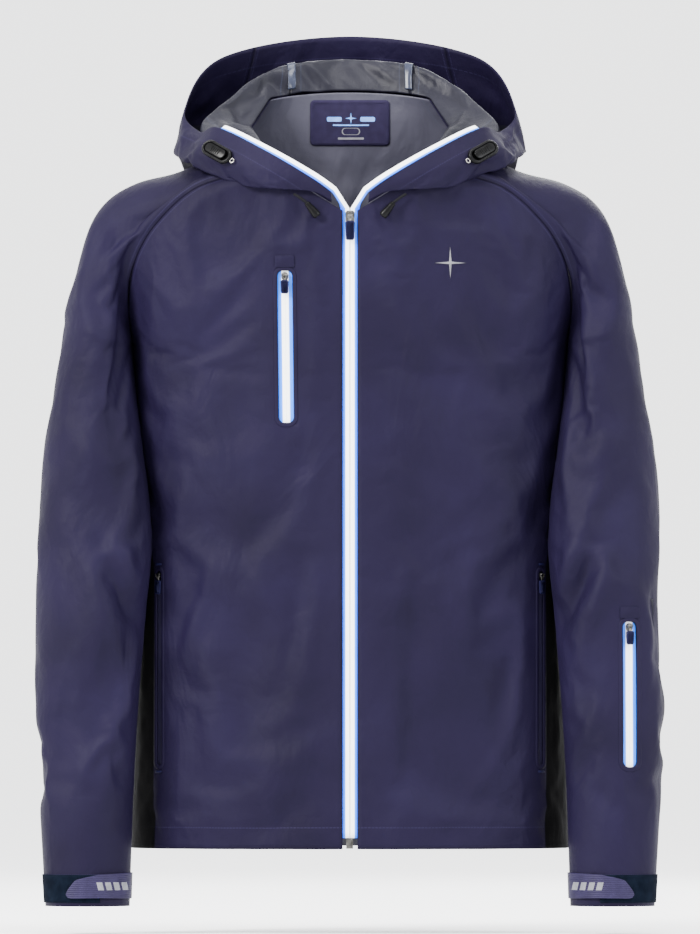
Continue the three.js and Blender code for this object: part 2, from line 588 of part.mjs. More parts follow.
// Cuff adjusters: loop patch on the sleeve, moulded tab over it, hook patch under the tab.
const cuffRow = (z) => 13 + (60 - z) / 121;
const tabTop = cuffRow(-26);
const tabBottom = cuffRow(-26 - cuffTab.height);
const patchTop = cuffRow(-28);
const patchBottom = cuffRow(-28 - cuffPatchHeight);
const patchLift = fabricThickness / 2 + layerGap + patchThickness / 2 + 0.3;
const hookLift = patchLift + patchThickness + layerGap;
const tabLift = hookLift + patchThickness / 2 + layerGap + cuffTab.thickness / 2;
const sewnLift = fabricThickness / 2 + layerGap + cuffTab.thickness / 2 + 0.2;
for (const [sideName, side] of sides) {
  const patch = (s, t) => sleevePoint(side, 0.2 + 0.42 * s, patchTop + (patchBottom - patchTop) * t);
  const out = -side;
  addPiece(`cuff_loop_${sideName}`, sheet(patch, 16, 1, patchThickness, () => out * patchLift), navy, 0.95);
  const hook = (s, t) => sleevePoint(side, 0.215 + 0.075 * s, tabTop + 0.03 + (tabBottom - tabTop - 0.06) * t);
  addPiece(`cuff_hook_${sideName}`, sheet(hook, 3, 1, patchThickness, () => out * hookLift), black, 0.9);
  const tab = (s, t) => {
    const reach = cuffTab.reach - 0.03 * (1 - t);
    return sleevePoint(side, 0.02 + (reach - 0.02) * s, tabTop + (tabBottom - tabTop) * t);
  };
  const tabOffset = (s) => out * (sewnLift + (tabLift - sewnLift) * THREE.MathUtils.smoothstep(s, 0.1, 0.5));
  addPiece(`cuff_tab_${sideName}`, sheet(tab, 12, 2, cuffTab.thickness, tabOffset), 0x2b2a44, 0.6);
}

// Hood adjusters: an oval rim with a floor, and a lock button inside it.
for (const [sideName, side] of sides) {
  const station = 3.02;
  const across = 4.05;
  const middle = hoodPoint(side, station, across);
  const forward = hoodPoint(side, station + 0.05, across).sub(hoodPoint(side, station - 0.05, across));
  const upward = hoodPoint(side, station, across + 0.05).sub(hoodPoint(side, station, across - 0.05));
  const outward = forward.cross(upward).multiplyScalar(side).normalize();
  if (outward.y > 0) outward.negate();
  const slant = new THREE.Vector3(side * 34, 0, 24).projectOnPlane(outward);
  const frame = frameAt(middle.addScaledVector(outward, fabricThickness / 2 + 0.5), slant, outward);
  const body = plate(roundedOutline(adjuster.width, -adjuster.length / 2, adjuster.length / 2, 9), 0,
    adjuster.depth, 5);
  const well = plate(roundedOutline(adjuster.width - 2 * adjuster.wall, -adjuster.length / 2 + adjuster.wall,
    adjuster.length / 2 - adjuster.wall, 6), 1, adjuster.depth + 1, 5);
  addPiece(`adjuster_rim_${sideName}`, cut(body, well), black, 0.4, 0, frame);
  const play = 2 * adjuster.wall + 1;
  const buttonFloor = 1 + adjuster.travel + layerGap;
  const button = plate(roundedOutline(adjuster.width - play, -adjuster.length / 2 + play / 2 + 5,
    adjuster.length / 2 - play / 2, 5), buttonFloor, buttonFloor + 1.6, 4);
  addPiece(`adjuster_button_${sideName}`, button, black, 0.3, 0, frame);
}

// Drawcord tails come out under the lapels and end in bells.
const tailPoints = [[60, -116.9, 699.6], [56.5, -117.3, 697.6], [53, -117.7, 695.4], [49.6, -117.9, 692.8],
  [46.5, -118, 690.2], [36.8, -118, 678.6]];
for (const [sideName, side] of sides) {
  const points = tailPoints.map(([x, y, z]) => graded([side * x, y, z]));
  const path = new THREE.CatmullRomCurve3(points);
  const section = new THREE.Shape().absarc(0, 0, cordDiameter / 2, 0, 2 * Math.PI);
  const tail = new THREE.ExtrudeGeometry(section, { steps: 8, curveSegments: 4, extrudePath: path });
  addPiece(`drawcord_tail_${sideName}`, tail, black, 0.8);
  const mouth = points[4];
  const axis = points[5].clone().sub(points[4]).normalize();
  const bore = cordDiameter / 2 + bell.clearance;
  const profile = [[bore, 0], [bore + 1, 0], [bell.radius - 0.6, bell.length * 0.45],
    [bell.radius, bell.length * 0.85], [bell.radius - 1, bell.length], [0, bell.length], [0, bell.bore],
    [bore, bell.bore], [bore, 0]].map(([r, h]) => new THREE.Vector2(r, h));
  const bellGeometry = new THREE.LatheGeometry(profile, 12);
  bellGeometry.applyQuaternion(new THREE.Quaternion().setFromUnitVectors(new THREE.Vector3(0, 1, 0), axis));
  bellGeometry.translate(mouth.x, mouth.y, mouth.z);
  addPiece(`cord_bell_${sideName}`, bellGeometry, black, 0.3);
}

// Neck label inside the back, and a plain star on the left chest.
const labelSurface = (s, t) => torsoPoint(-label.width / 2 + label.width * s, label.bottom + label.height * t, true);
const labelLift = fabricThickness / 2 + layerGap + 0.5;
addPiece('neck_label', sheet(labelSurface, 6, 3, 0.5, () => labelLift), navy, 0.8);

const star = new THREE.Shape();
const starPoints = 4;
for (let i = 0; i < 2 * starPoints; i += 1) {
  const radius = i % 2 ? 4.5 : 17;
  const angle = Math.PI * i / starPoints;
  star[i ? 'lineTo' : 'moveTo'](radius * Math.sin(angle), radius * Math.cos(angle));
}
star.closePath();
const markMiddle = torsoPoint(107, 626);
const markOut = surfaceNormal(torsoPoint, 107, 626);
const markFrame = frameAt(markMiddle, new THREE.Vector3(0, 0, 1), markOut);
const markFoot = fabricThickness / 2 + 0.6;
addPiece('chest_mark', plate(star, markFoot, markFoot + 0.4), 0xb9bcc4, 0.4, 0.3, markFrame);

export default jacket;
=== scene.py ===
# Foul weather jacket: cloth, zips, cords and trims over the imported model.
import math
import bmesh
import bpy
from mathutils import Matrix, Vector
from mathutils.bvhtree import BVHTree


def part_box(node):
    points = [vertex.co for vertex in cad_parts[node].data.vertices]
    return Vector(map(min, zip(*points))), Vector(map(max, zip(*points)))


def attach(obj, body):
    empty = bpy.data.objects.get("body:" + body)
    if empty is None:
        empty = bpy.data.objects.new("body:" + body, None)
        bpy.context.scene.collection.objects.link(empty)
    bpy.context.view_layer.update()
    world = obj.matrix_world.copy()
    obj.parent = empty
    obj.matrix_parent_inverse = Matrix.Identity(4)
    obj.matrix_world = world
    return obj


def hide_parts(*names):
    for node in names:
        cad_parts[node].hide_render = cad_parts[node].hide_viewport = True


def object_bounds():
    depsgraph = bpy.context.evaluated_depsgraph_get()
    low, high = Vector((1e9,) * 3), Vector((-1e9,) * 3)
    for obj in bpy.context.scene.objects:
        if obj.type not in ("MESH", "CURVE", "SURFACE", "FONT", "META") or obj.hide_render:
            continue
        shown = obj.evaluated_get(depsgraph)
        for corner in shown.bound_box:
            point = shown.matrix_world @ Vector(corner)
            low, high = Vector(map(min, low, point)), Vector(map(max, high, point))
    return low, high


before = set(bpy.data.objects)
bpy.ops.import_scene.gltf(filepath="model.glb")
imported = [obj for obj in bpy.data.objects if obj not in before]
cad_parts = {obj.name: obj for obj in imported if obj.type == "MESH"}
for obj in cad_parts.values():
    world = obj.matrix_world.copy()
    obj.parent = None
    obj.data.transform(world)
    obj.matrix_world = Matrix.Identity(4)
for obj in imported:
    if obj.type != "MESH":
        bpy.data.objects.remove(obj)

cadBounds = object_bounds()
scene = bpy.context.scene
mm = 0.001
sides = (("right", -1), ("left", 1))
print("frame loaded:", len(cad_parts), "nodes")

# the pattern, in millimetres from the middle of the hem, as the frame was cut
cut = {
    "roundness": 2.4,
    "neckHeight": 811, "frontNeckHeight": 682, "armpit": 538, "zipHalf": 8, "cloth": 1.4,
    "frontHalfWidths": [[0, 234], [150, 230], [330, 226], [450, 229], [538, 233], [572, 240], [608, 247],
                        [640, 247], [672, 236], [706, 204], [722, 165], [735, 100]],
    "backHalfWidths": [[0, 234], [150, 230], [330, 226], [450, 229], [538, 233], [572, 240], [612, 247],
                       [650, 245], [690, 225], [735, 190], [772, 150], [803, 110], [811, 104]],
    "frontDepths": [[0, 131], [735, 111.4]],
    "backDepths": [[0, 118], [300, 110], [450, 116], [560, 122], [640, 116], [700, 104], [740, 94],
                   [780, 87], [811, 86]],
    "frontSeam": [[0, 0.84, 735], [1, 0.73, 722], [2, 0.81, 706], [3, 0.865, 672], [4, 0.912, 640],
                  [5, 0.95, 608], [6, 0.985, 572], [7, 1, 538]],
    "backSeam": [[0, 0.78, 803], [1, 0.72, 772], [2, 0.77, 735], [3, 0.86, 690], [4, 0.905, 650],
                 [5, 0.95, 612], [6, 0.985, 572], [7, 1, 538]],
    # the last entry places the painted side shade strip: its edge, where the edge starts to slant, and the edge at the
    # armpit
    "bodyRows": 8, "seamRows": 10, "paintedSideShade": {"x": 209, "widenFrom": 300, "topX": 233, "top": 538},
}
sleeveCut = {
    "outer": [[0, 106, 2, 771], [1, 150, 2, 751], [2, 192, 0, 732], [3, 235, -4, 721], [4, 268, -10, 701],
              [5, 289, -16, 668], [6, 303, -22, 612], [7, 312, -28, 560], [8, 322, -36, 490],
              [9, 330, -44, 430], [10, 337, -60, 330], [11, 339, -71, 240], [12, 338, -83, 150],
              [13, 332, -91, 60], [14, 325, -97, -61]],
    "inner": [[7, 233, 0, 538], [8, 229, -16, 490], [9, 221, -36, 430], [10, 212, -62, 335],
              [11, 219, -73, 250], [12, 227, -83, 150], [13, 232, -90, 60], [14, 236, -95, -61]],
    "halfDepths": [[7, 75], [8, 72], [9, 68], [10, 62], [11, 58], [12, 53], [13, 49], [14, 47]],
    "frontHandles": [[0, 7, 24, 12], [1, 8, 10, 22], [2, 8, 2, 20], [3, 14, -6, 24], [4, 22, -12, 20],
                     [5, 28, -24, 10], [6, 34, -50, 4], [7, 0, -100, 0]],
    "backHandles": [[0, 6, -18, -10], [1, 14, -10, -6], [2, 14, -6, 8], [3, 14, 4, 20], [4, 22, 12, 20],
                    [5, 28, 22, 10], [6, 34, 48, 4], [7, 0, 100, 0]],
    "topHandles": [[0, 24, 20], [1, 45, 35], [2, 42, 40], [3, 45, 42], [4, 48, 46], [5, 58, 56],
                   [6, 80, 78], [7, 100, 100]],
    "clearances": [[4.4, 0], [5.8, 1.0], [7, 1.5], [8, 1.7], [9, 4.2], [14, 4.2]],
    "hemShift": 50,      # brings the cuff's line of stitches above its closure
}
# each rail is doubled past the middle of the back, so the hood has no crease there
hoodCut = {
    "ridge": [[0, 8.3, -113.8, 685], [1, 37.4, -114.2, 702.9], [2, 66, -111, 725], [3, 110, -68, 753],
              [4, 152, -18, 778], [5, 143, 18, 799], [6, 88, 80, 834], [7, 0, 103, 846], [8, -88, 80, 834]],
    "drop": [[0, 8.6, -114.5, 685.6], [1, 37.6, -116.4, 702.6], [2, 73, -112.5, 716], [3, 121, -86, 735],
             [4, 161, -36, 760], [5, 158, 12, 771], [6, 100, 100, 762], [7, 0, 124, 765],
             [8, -100, 100, 762]],
    "floor": [[0, 8.8, -115, 686.6], [1, 38, -118.6, 702.4], [2, 80, -114, 706], [3, 131, -98, 715],
              [4, 174, -66, 731], [5, 190, -2, 746], [5.5, 179, 58, 737], [6, 140, 122, 694],
              [7, 0, 150, 680], [8, -140, 122, 694]],
    "belly": [[0, 9.1, -115.5, 689.5], [1, 39, -120.6, 708.5], [2, 88, -117, 724], [3, 140, -92, 742],
              [4, 174, -60, 749], [5, 187, 8, 763], [6, 158, 132, 772], [7, 0, 190, 770],
              [8, -158, 132, 772]],
    "edge": [[0, 9.4, -115.8, 693], [1, 40, -121, 716], [2, 92, -107, 747], [3, 141, -68, 771],
             [4, 161, -24, 767], [5, 177, 22, 793], [6, 136, 118, 850], [7, 0, 172, 873],
             [8, -136, 118, 850]],
    "front": 0.4, "split": 6.3, "lift": 2.2, "facingFrom": 4.1,
}


def along(rows, station):
    # a smooth value along rows of [station, value, value, ...]
    last = len(rows) - 1
    i = 0
    while i < last - 1 and station > rows[i + 1][0]:
        i += 1
    low, high = rows[i], rows[i + 1]
    span = high[0] - low[0]
    t = (station - low[0]) / span
    t2, t3 = t * t, t * t * t
    before = rows[i - 1] if i > 0 else low
    after = rows[i + 2] if i + 2 <= last else high
    values = []
    for k in range(1, len(low)):
        slopeIn = (high[k] - before[k]) / (high[0] - before[0])
        slopeOut = (after[k] - low[k]) / (after[0] - low[0])
        values.append(low[k] * (2 * t3 - 3 * t2 + 1) + high[k] * (3 * t2 - 2 * t3)
                      + slopeIn * span * (t3 - 2 * t2 + t) + slopeOut * span * (t3 - t2))
    return values


def bulge(share):
    power = cut["roundness"]
    return max(0.0, 1 - min(1.0, share) ** power) ** (1 / power)


def torsoPoint(x, z, back=False):
    halfWidth = along(cut["backHalfWidths" if back else "frontHalfWidths"], z)[0]
    depth = along(cut["backDepths" if back else "frontDepths"], z)[0]
    y = depth * bulge(abs(x) / halfWidth)
    return Vector((x, y if back else -y, z))


def seamPoint(station, back):
    share, z = along(cut["backSeam" if back else "frontSeam"], station)
    return share * along(cut["backHalfWidths" if back else "frontHalfWidths"], z)[0], z, share


def sideOf(t, back):
    row = t * (cut["bodyRows"] + cut["seamRows"])
    if row > cut["bodyRows"]:
        return seamPoint(7 * (1 - (row - cut["bodyRows"]) / cut["seamRows"]), back)
    z = cut["armpit"] * row / cut["bodyRows"]
    return along(cut["frontHalfWidths"], z)[0], z, 1


def frontSurface(side):
    def surface(s, t):
        edgeX, edgeZ, share = sideOf(t, False)
        middle = edgeZ * cut["frontNeckHeight"] / cut["frontSeam"][0][2]
        turn = math.asin(min(1, share))
        x = cut["zipHalf"] + (edgeX - cut["zipHalf"]) * math.sin(s * turn) / math.sin(turn)
        return torsoPoint(side * x, middle + (edgeZ - middle) * s)
    return surface


def backSurface(s, t):
    side = -1 if s < 0.5 else 1
    share = abs(2 * s - 1)
    edgeX, edgeZ, edgeShare = sideOf(t, True)
    middle = edgeZ * cut["neckHeight"] / cut["backSeam"][0][2]
    turn = math.asin(min(1, edgeShare))
    x = side * edgeX * math.sin(share * turn) / math.sin(turn)
    return torsoPoint(x, middle + (edgeZ - middle) * share * share, True)


def clearOfTorso(point, clearance):
    z = min(max(point.z, 0), 640)
    halfWidth = along(cut["frontHalfWidths"], z)[0] + clearance
    depth = along(cut["frontDepths" if point.y < 0 else "backDepths"], z)[0] + clearance
    power = cut["roundness"]
    reach = ((abs(point.x) / halfWidth) ** power + (abs(point.y) / depth) ** power) ** (1 / power)
    if reach < 1 and point.z > -20:
        point.x /= reach
        point.y /= reach
    return point


def sleevePoint(side, around, station):
    # around 0 is the front seam, 0.5 the outer line and 1 the back seam; station 0 the neck, 14 the cuff
    back = around > 0.5
    t = 2 - 2 * around if back else 2 * around
    outer = Vector(along(sleeveCut["outer"], station))
    if station < 7:
        x, z, _ = seamPoint(station, back)
        depth = along(cut["backDepths" if back else "frontDepths"], z)[0]
        y = depth * bulge(x / along(cut["backHalfWidths" if back else "frontHalfWidths"], z)[0])
        seam = Vector((x, y if back else -y, z))
        seamHandle = Vector(along(sleeveCut["backHandles" if back else "frontHandles"], station))
        reach = along(sleeveCut["topHandles"], station)[1 if back else 0]
        outerHandle = Vector((0, reach if back else -reach, 0))
    else:
        seam = Vector(along(sleeveCut["inner"], station))
        reach = along(sleeveCut["halfDepths"], station)[0] * 4 / 3
        seamHandle = outerHandle = Vector((0, reach if back else -reach, 0))
    u = 1 - t
    point = (seam * u ** 3 + (seam + seamHandle) * (3 * u * u * t)
             + (outer + outerHandle) * (3 * u * t * t) + outer * t ** 3)
    if station > sleeveCut["clearances"][0][0]:
        clearOfTorso(point, along(sleeveCut["clearances"], station)[0])
    point.x *= side
    return point


def sleeveSurface(side):
    return lambda s, t: sleevePoint(side, s, t * 14)


def neckPoint(side, station):
    if station < 3:
        point = frontSurface(side)(station / 3 * 0.99, 1)
    elif station < 6:
        point = sleevePoint(side, (station - 3) / 3, 0)
    else:
        point = backSurface(0.5 + side * 0.495 * (7 - station), 1)
    point.z += hoodCut["lift"]
    return point


def hoodPoint(side, station, across):
    # station 0 is the top of the front zip and 7 the middle of the back; across 0 the neck seam, 5 the free edge
    columns = [[0, *neckPoint(side, station)]]
    for i, rail in enumerate(("ridge", "drop", "floor", "belly", "edge")):
        x, y, z = along(hoodCut[rail], station)
        columns.append([i + 1, side * x, y, z])
    return Vector(along(columns, across))


neckBack = Vector((0, along(cut["backDepths"], cut["neckHeight"])[0], cut["neckHeight"]))


def toFrame(point):
    # the frame's origin is the inside of the back neck
    return (point - neckBack) * mm


def toPattern(place):
    return place / mm + neckBack


def frameAt(origin, alongAxis, outward):
    # X across, Y out of the cloth, Z along
    z = alongAxis.normalized()
    x = outward.cross(z).normalized()
    y = z.cross(x)
    return Matrix.Translation(origin) @ Matrix((x, y, z)).transposed().to_4x4()


def ease(low, high, value):
    t = min(max((value - low) / (high - low), 0), 1)
    return t * t * (3 - 2 * t)


# materials: cloth reads its own maps in metres, hard parts read object coordinates
def newMaterial(name, color, roughness, metallic=0.0, specular=0.3):
    material = bpy.data.materials.new(name)
    material.use_nodes = True
    shader = material.node_tree.nodes["Principled BSDF"]
    shader.inputs["Base Color"].default_value = (*color, 1)
    shader.inputs["Roughness"].default_value = roughness
    shader.inputs["Metallic"].default_value = metallic
    shader.inputs["Specular IOR Level"].default_value = specular
    return material, material.node_tree.nodes, material.node_tree.links, shader


def addBump(nodes, links, shader, layers):
    # layers are (height socket, strength, distance in metres), the coarsest first
    normal = None
    for height, strength, distance in layers:
        bump = nodes.new("ShaderNodeBump")
        bump.inputs["Strength"].default_value = strength
        bump.inputs["Distance"].default_value = distance
        links.new(height, bump.inputs["Height"])
        if normal:
            links.new(normal, bump.inputs["Normal"])
        normal = bump.outputs["Normal"]
    links.new(normal, shader.inputs["Normal"])


def addNoise(nodes, links, source, scale, detail=4.0, distortion=0.0, stretch=(1, 1, 1)):
    mapping = nodes.new("ShaderNodeMapping")
    mapping.inputs["Scale"].default_value = stretch
    texture = nodes.new("ShaderNodeTexNoise")
    texture.inputs["Scale"].default_value = scale
    texture.inputs["Detail"].default_value = detail
    texture.inputs["Distortion"].default_value = distortion
    links.new(source, mapping.inputs["Vector"])
    links.new(mapping.outputs["Vector"], texture.inputs["Vector"])
    return texture.outputs["Fac"]


def addRamp(nodes, links, source, stops):
    ramp = nodes.new("ShaderNodeValToRGB")
    elements = ramp.color_ramp.elements
    for i, (position, color) in enumerate(stops):
        element = elements[i] if i < 2 else elements.new(position)
        element.position = position
        element.color = (*color, 1)
    links.new(source, ramp.inputs["Fac"])
    return ramp.outputs["Color"]


def addMath(nodes, links, operation, first, second=None):
    node = nodes.new("ShaderNodeMath")
    node.operation = operation
    for i, value in enumerate((first, second)):
        if isinstance(value, (int, float)):
            node.inputs[i].default_value = value
        elif value is not None:
            links.new(value, node.inputs[i])
    return node.outputs[0]


def addMix(nodes, links, factor, colorA, colorB):
    node = nodes.new("ShaderNodeMix")
    node.data_type = "RGBA"
    links.new(factor, node.inputs["Factor"])
    for socket, color in ((node.inputs[6], colorA), (node.inputs[7], colorB)):
        if isinstance(color, tuple):
            socket.default_value = (*color, 1)
        else:
            links.new(color, socket)
    return node.outputs[2]


def addMap(nodes, links, name):
    # the two directions of one of the piece's own maps
    source = nodes.new("ShaderNodeUVMap")
    source.uv_map = name
    separate = nodes.new("ShaderNodeSeparateXYZ")
    links.new(source.outputs["UV"], separate.inputs[0])
    return separate.outputs[0], separate.outputs[1]


def addWave(nodes, links, value, pitch):
    return addMath(nodes, links, "SINE", addMath(nodes, links, "MULTIPLY", value, 2 * math.pi / pitch))


def addLine(nodes, links, distance, place, width, run=None, stitch=0.0032):
    # 1 on a line at that distance; broken into stitches where a run is given
    away = addMath(nodes, links, "ABSOLUTE", addMath(nodes, links, "SUBTRACT", distance, place))
    line = nodes.new("ShaderNodeMapRange")
    line.interpolation_type = "SMOOTHSTEP"
    line.inputs["From Min"].default_value = width
    line.inputs["From Max"].default_value = width * 0.3
    links.new(away, line.inputs["Value"])
    if run is None:
        return line.outputs["Result"]
    broken = addMath(nodes, links, "GREATER_THAN", addWave(nodes, links, run, stitch), -0.55)
    return addMath(nodes, links, "MULTIPLY", line.outputs["Result"], broken)


finishes = {
    "shell": {"deep": (0.0033, 0.0021, 0.0092), "light": (0.0052, 0.0034, 0.0140), "thread": (0.010, 0.008, 0.024),
              "weave": 0.0011, "crinkle": 60, "grain": 420, "roughness": 0.6, "specular": 0.06,
              "seam": 0.0045, "hem": 0.023},
    # painted shade: near-black cloth for the strip down the body's sides, where shade falls between sleeves and body
    "paintedSideShade": {"deep": (0.0012, 0.0012, 0.0014), "light": (0.002, 0.002, 0.0024), "thread": (0.003, 0.003, 0.004),
               "weave": 0.0011, "crinkle": 60, "grain": 420, "roughness": 0.8, "specular": 0.03,
               "seam": 0.0045, "hem": 0.023},
    "lining": {"deep": (0.0035, 0.0035, 0.0068), "light": (0.0098, 0.0095, 0.0150), "thread": (0.012, 0.014, 0.026),
               "weave": 0.0008, "crinkle": 38, "grain": 300, "roughness": 0.33, "specular": 0.10,
               "seam": 0.011, "hem": 0.023},
    # painted light: a copy of the lining about four times lighter, for the inside of the body and sleeves, which would
    # otherwise sit in shade
    "paintedLightLining": {"deep": (0.0165, 0.0162, 0.026), "light": (0.043, 0.0415, 0.058), "thread": (0.03, 0.034, 0.05),
                   "weave": 0.0008, "crinkle": 30, "grain": 300, "roughness": 0.4, "specular": 0.2,
                   "seam": 0.011, "hem": 0.023},
}


def clothMaterial(name):
    finish = finishes[name]
    material, nodes, links, shader = newMaterial(f"{name} cloth", finish["light"], finish["roughness"], 0,
                                                 finish["specular"])
    place = nodes.new("ShaderNodeTexCoord").outputs["Object"]
    across, down = addMap(nodes, links, "cloth")
    seam, hem = addMap(nodes, links, "seams")
    crinkle = addNoise(nodes, links, place, finish["crinkle"], 5, 0.6)
    soft = addNoise(nodes, links, place, 14, 3, 0.8, (1, 1, 0.6))
    grain = addNoise(nodes, links, place, finish["grain"], 3)
    tone = addNoise(nodes, links, place, 9, 5, 0.4)
    stitches = addMath(nodes, links, "MAXIMUM",
                       addLine(nodes, links, seam, finish["seam"], 0.0007, down),
                       addLine(nodes, links, hem, finish["hem"], 0.0008, across))
    pressed = addLine(nodes, links, seam, 0.0, 0.0022)
    color = addRamp(nodes, links, tone, [(0.3, finish["deep"]), (0.7, finish["light"])])
    color = addMix(nodes, links, addMath(nodes, links, "MULTIPLY", pressed, 0.55), color,
                   tuple(c * 0.45 for c in finish["deep"]))
    links.new(addMix(nodes, links, stitches, color, finish["thread"]), shader.inputs["Base Color"])
    rough = nodes.new("ShaderNodeMapRange")
    rough.inputs["To Min"].default_value = finish["roughness"] - 0.07
    rough.inputs["To Max"].default_value = min(1, finish["roughness"] + 0.1)
    links.new(grain, rough.inputs["Value"])
    links.new(rough.outputs["Result"], shader.inputs["Roughness"])
    weave = addMath(nodes, links, "MULTIPLY", addWave(nodes, links, across, finish["weave"]),
                    addWave(nodes, links, down, finish["weave"]))
    addBump(nodes, links, shader, [(soft, 0.5, 0.012), (crinkle, 0.3, 0.003), (stitches, -0.6, 0.0006),
                                   (grain, 0.15, 0.0006), (weave, 0.2, 0.00012)])
    return material


def stripMaterial(name, stops, width, roughness=0.45):
    # colours by the distance from the middle of a zip, which is the strip's own u
    material, nodes, links, shader = newMaterial(name, stops[0][1], roughness, 0, 0.2)
    across, down = addMap(nodes, links, "cloth")
    share = addMath(nodes, links, "DIVIDE", addMath(nodes, links, "ABSOLUTE", across), width)
    links.new(addRamp(nodes, links, share, stops), shader.inputs["Base Color"])
    grain = addNoise(nodes, links, nodes.new("ShaderNodeTexCoord").outputs["Object"], 900, 2)
    ribs = addMath(nodes, links, "MULTIPLY", addWave(nodes, links, across, 0.0011), addWave(nodes, links, down, 0.0014))
    addBump(nodes, links, shader, [(ribs, 0.35, 0.00025), (grain, 0.15, 0.0003)])
    return material


def mouldedMaterial(name, color, roughness, grain=1500, bump=0.2, metallic=0.0, specular=0.15, wear=None, ribs=None):
    material, nodes, links, shader = newMaterial(name, color, roughness, metallic, specular)
    place = nodes.new("ShaderNodeTexCoord").outputs["Object"]
    fine = addNoise(nodes, links, place, grain, 3)
    cloud = addNoise(nodes, links, place, 120, 4)
    lighter = wear or tuple(min(1, c * 1.35 + 0.001) for c in color)
    links.new(addRamp(nodes, links, cloud, [(0.35, color), (0.75, lighter)]), shader.inputs["Base Color"])
    spread = nodes.new("ShaderNodeMapRange")
    spread.inputs["To Min"].default_value = max(0.05, roughness - 0.07)
    spread.inputs["To Max"].default_value = min(1, roughness + 0.1)
    links.new(cloud, spread.inputs["Value"])
    links.new(spread.outputs["Result"], shader.inputs["Roughness"])
    layers = [(fine, bump, 0.0002)]
    if ribs:
        _, down = addMap(nodes, links, "cloth")
        layers.insert(0, (addWave(nodes, links, down, ribs), 0.5, 0.0003))
    addBump(nodes, links, shader, layers)
    return material


white, paleBlue, blue = (0.92, 0.93, 0.95), (0.010, 0.16, 0.80), (0.002, 0.075, 0.70)
looks = {name: clothMaterial(name) for name in finishes}
looks.update({
    "frontTape": stripMaterial("front zip tape", [(0, (0.5, 0.52, 0.56)), (0.03, white), (0.56, white),
                                                  (0.62, paleBlue), (0.78, paleBlue), (0.88, blue), (1, blue)],
                               8.2 * mm),
    "pocketTape": stripMaterial("pocket zip tape", [(0, (0.6, 0.62, 0.66)), (0.04, white), (0.42, white),
                                                    (0.50, paleBlue), (0.86, paleBlue), (1, blue)], 8.4 * mm),
    # painted light: the hand pockets' navy tape is about 1.6 times lighter than the shell, to lift the shade in the
    # pocket slot
    "paintedLightNavyTape": stripMaterial("navy zip tape", [(0, (0.002, 0.0015, 0.006)), (0.06, (0.0075, 0.0055, 0.020)),
                                                (1, (0.0085, 0.0062, 0.023))], 8 * mm, 0.6),
    "coil": mouldedMaterial("zip coil", (0.003, 0.003, 0.004), 0.42),
    "metal": mouldedMaterial("zip metal", (0.035, 0.034, 0.032), 0.28, 2500, 0.15, 1.0, 0.5, (0.13, 0.127, 0.12)),
    "brightMetal": mouldedMaterial("eyelet metal", (0.16, 0.155, 0.145), 0.25, 2500, 0.1, 1.0, 0.5, (0.3, 0.29, 0.27)),
    "pull": mouldedMaterial("moulded pull", (0.0042, 0.0040, 0.019), 0.5, specular=0.06),
    "tab": mouldedMaterial("moulded tab", (0.0105, 0.0080, 0.0245), 0.5, specular=0.08, ribs=0.0021),
    "black": mouldedMaterial("gloss black", (0.0012, 0.0012, 0.0014), 0.26, 1500, 0.06, specular=0.07),
    "cord": mouldedMaterial("braided cord", (0.0022, 0.0022, 0.003), 0.8, 1300, 0.7, specular=0.08),
    "nap": mouldedMaterial("hook and loop nap", (0.0012, 0.0022, 0.0048), 0.95, 1100, 1.0, specular=0.02,
                           wear=(0.0028, 0.0046, 0.009)),
    "label": mouldedMaterial("label weave", (0.0090, 0.0066, 0.0205), 0.75, 1800, 0.4, specular=0.08),
    "print": mouldedMaterial("label print", (0.10, 0.20, 0.48), 0.6, specular=0.1),
    "paleLine": mouldedMaterial("pale print", (0.10, 0.10, 0.115), 0.6, specular=0.1),
    "silver": mouldedMaterial("silver print", (0.085, 0.084, 0.092), 0.35, 1500, 0.1, 0.2),
    "seamTape": mouldedMaterial("seam tape", (0.011, 0.0135, 0.026), 0.25, 600, 0.15, specular=0.2,
                                wear=(0.022, 0.027, 0.046)),
})
print("materials:", len(looks))

# camera, floor and light
studio = {"distance": 24.92, "lens": 900, "height": -0.403, "room": 3.1, "roomColor": (0.985, 0.99, 1.0),
          "floorDrop": 0.03, "floorSize": 60,
          "lights": [("key light", (-2.5, -2.2, 1.7), 1.2, 460, (1, 0.99, 0.97)),
                     ("fill light", (2.6, -1.8, 0.9), 1.4, 120, (0.95, 0.97, 1)),
                     ("top light", (0.3, -0.9, 2.4), 1.2, 120, (1, 1, 1)),
                     ("back light", (0.6, 2.6, 1.0), 1.6, 80, (0.98, 0.99, 1))]}


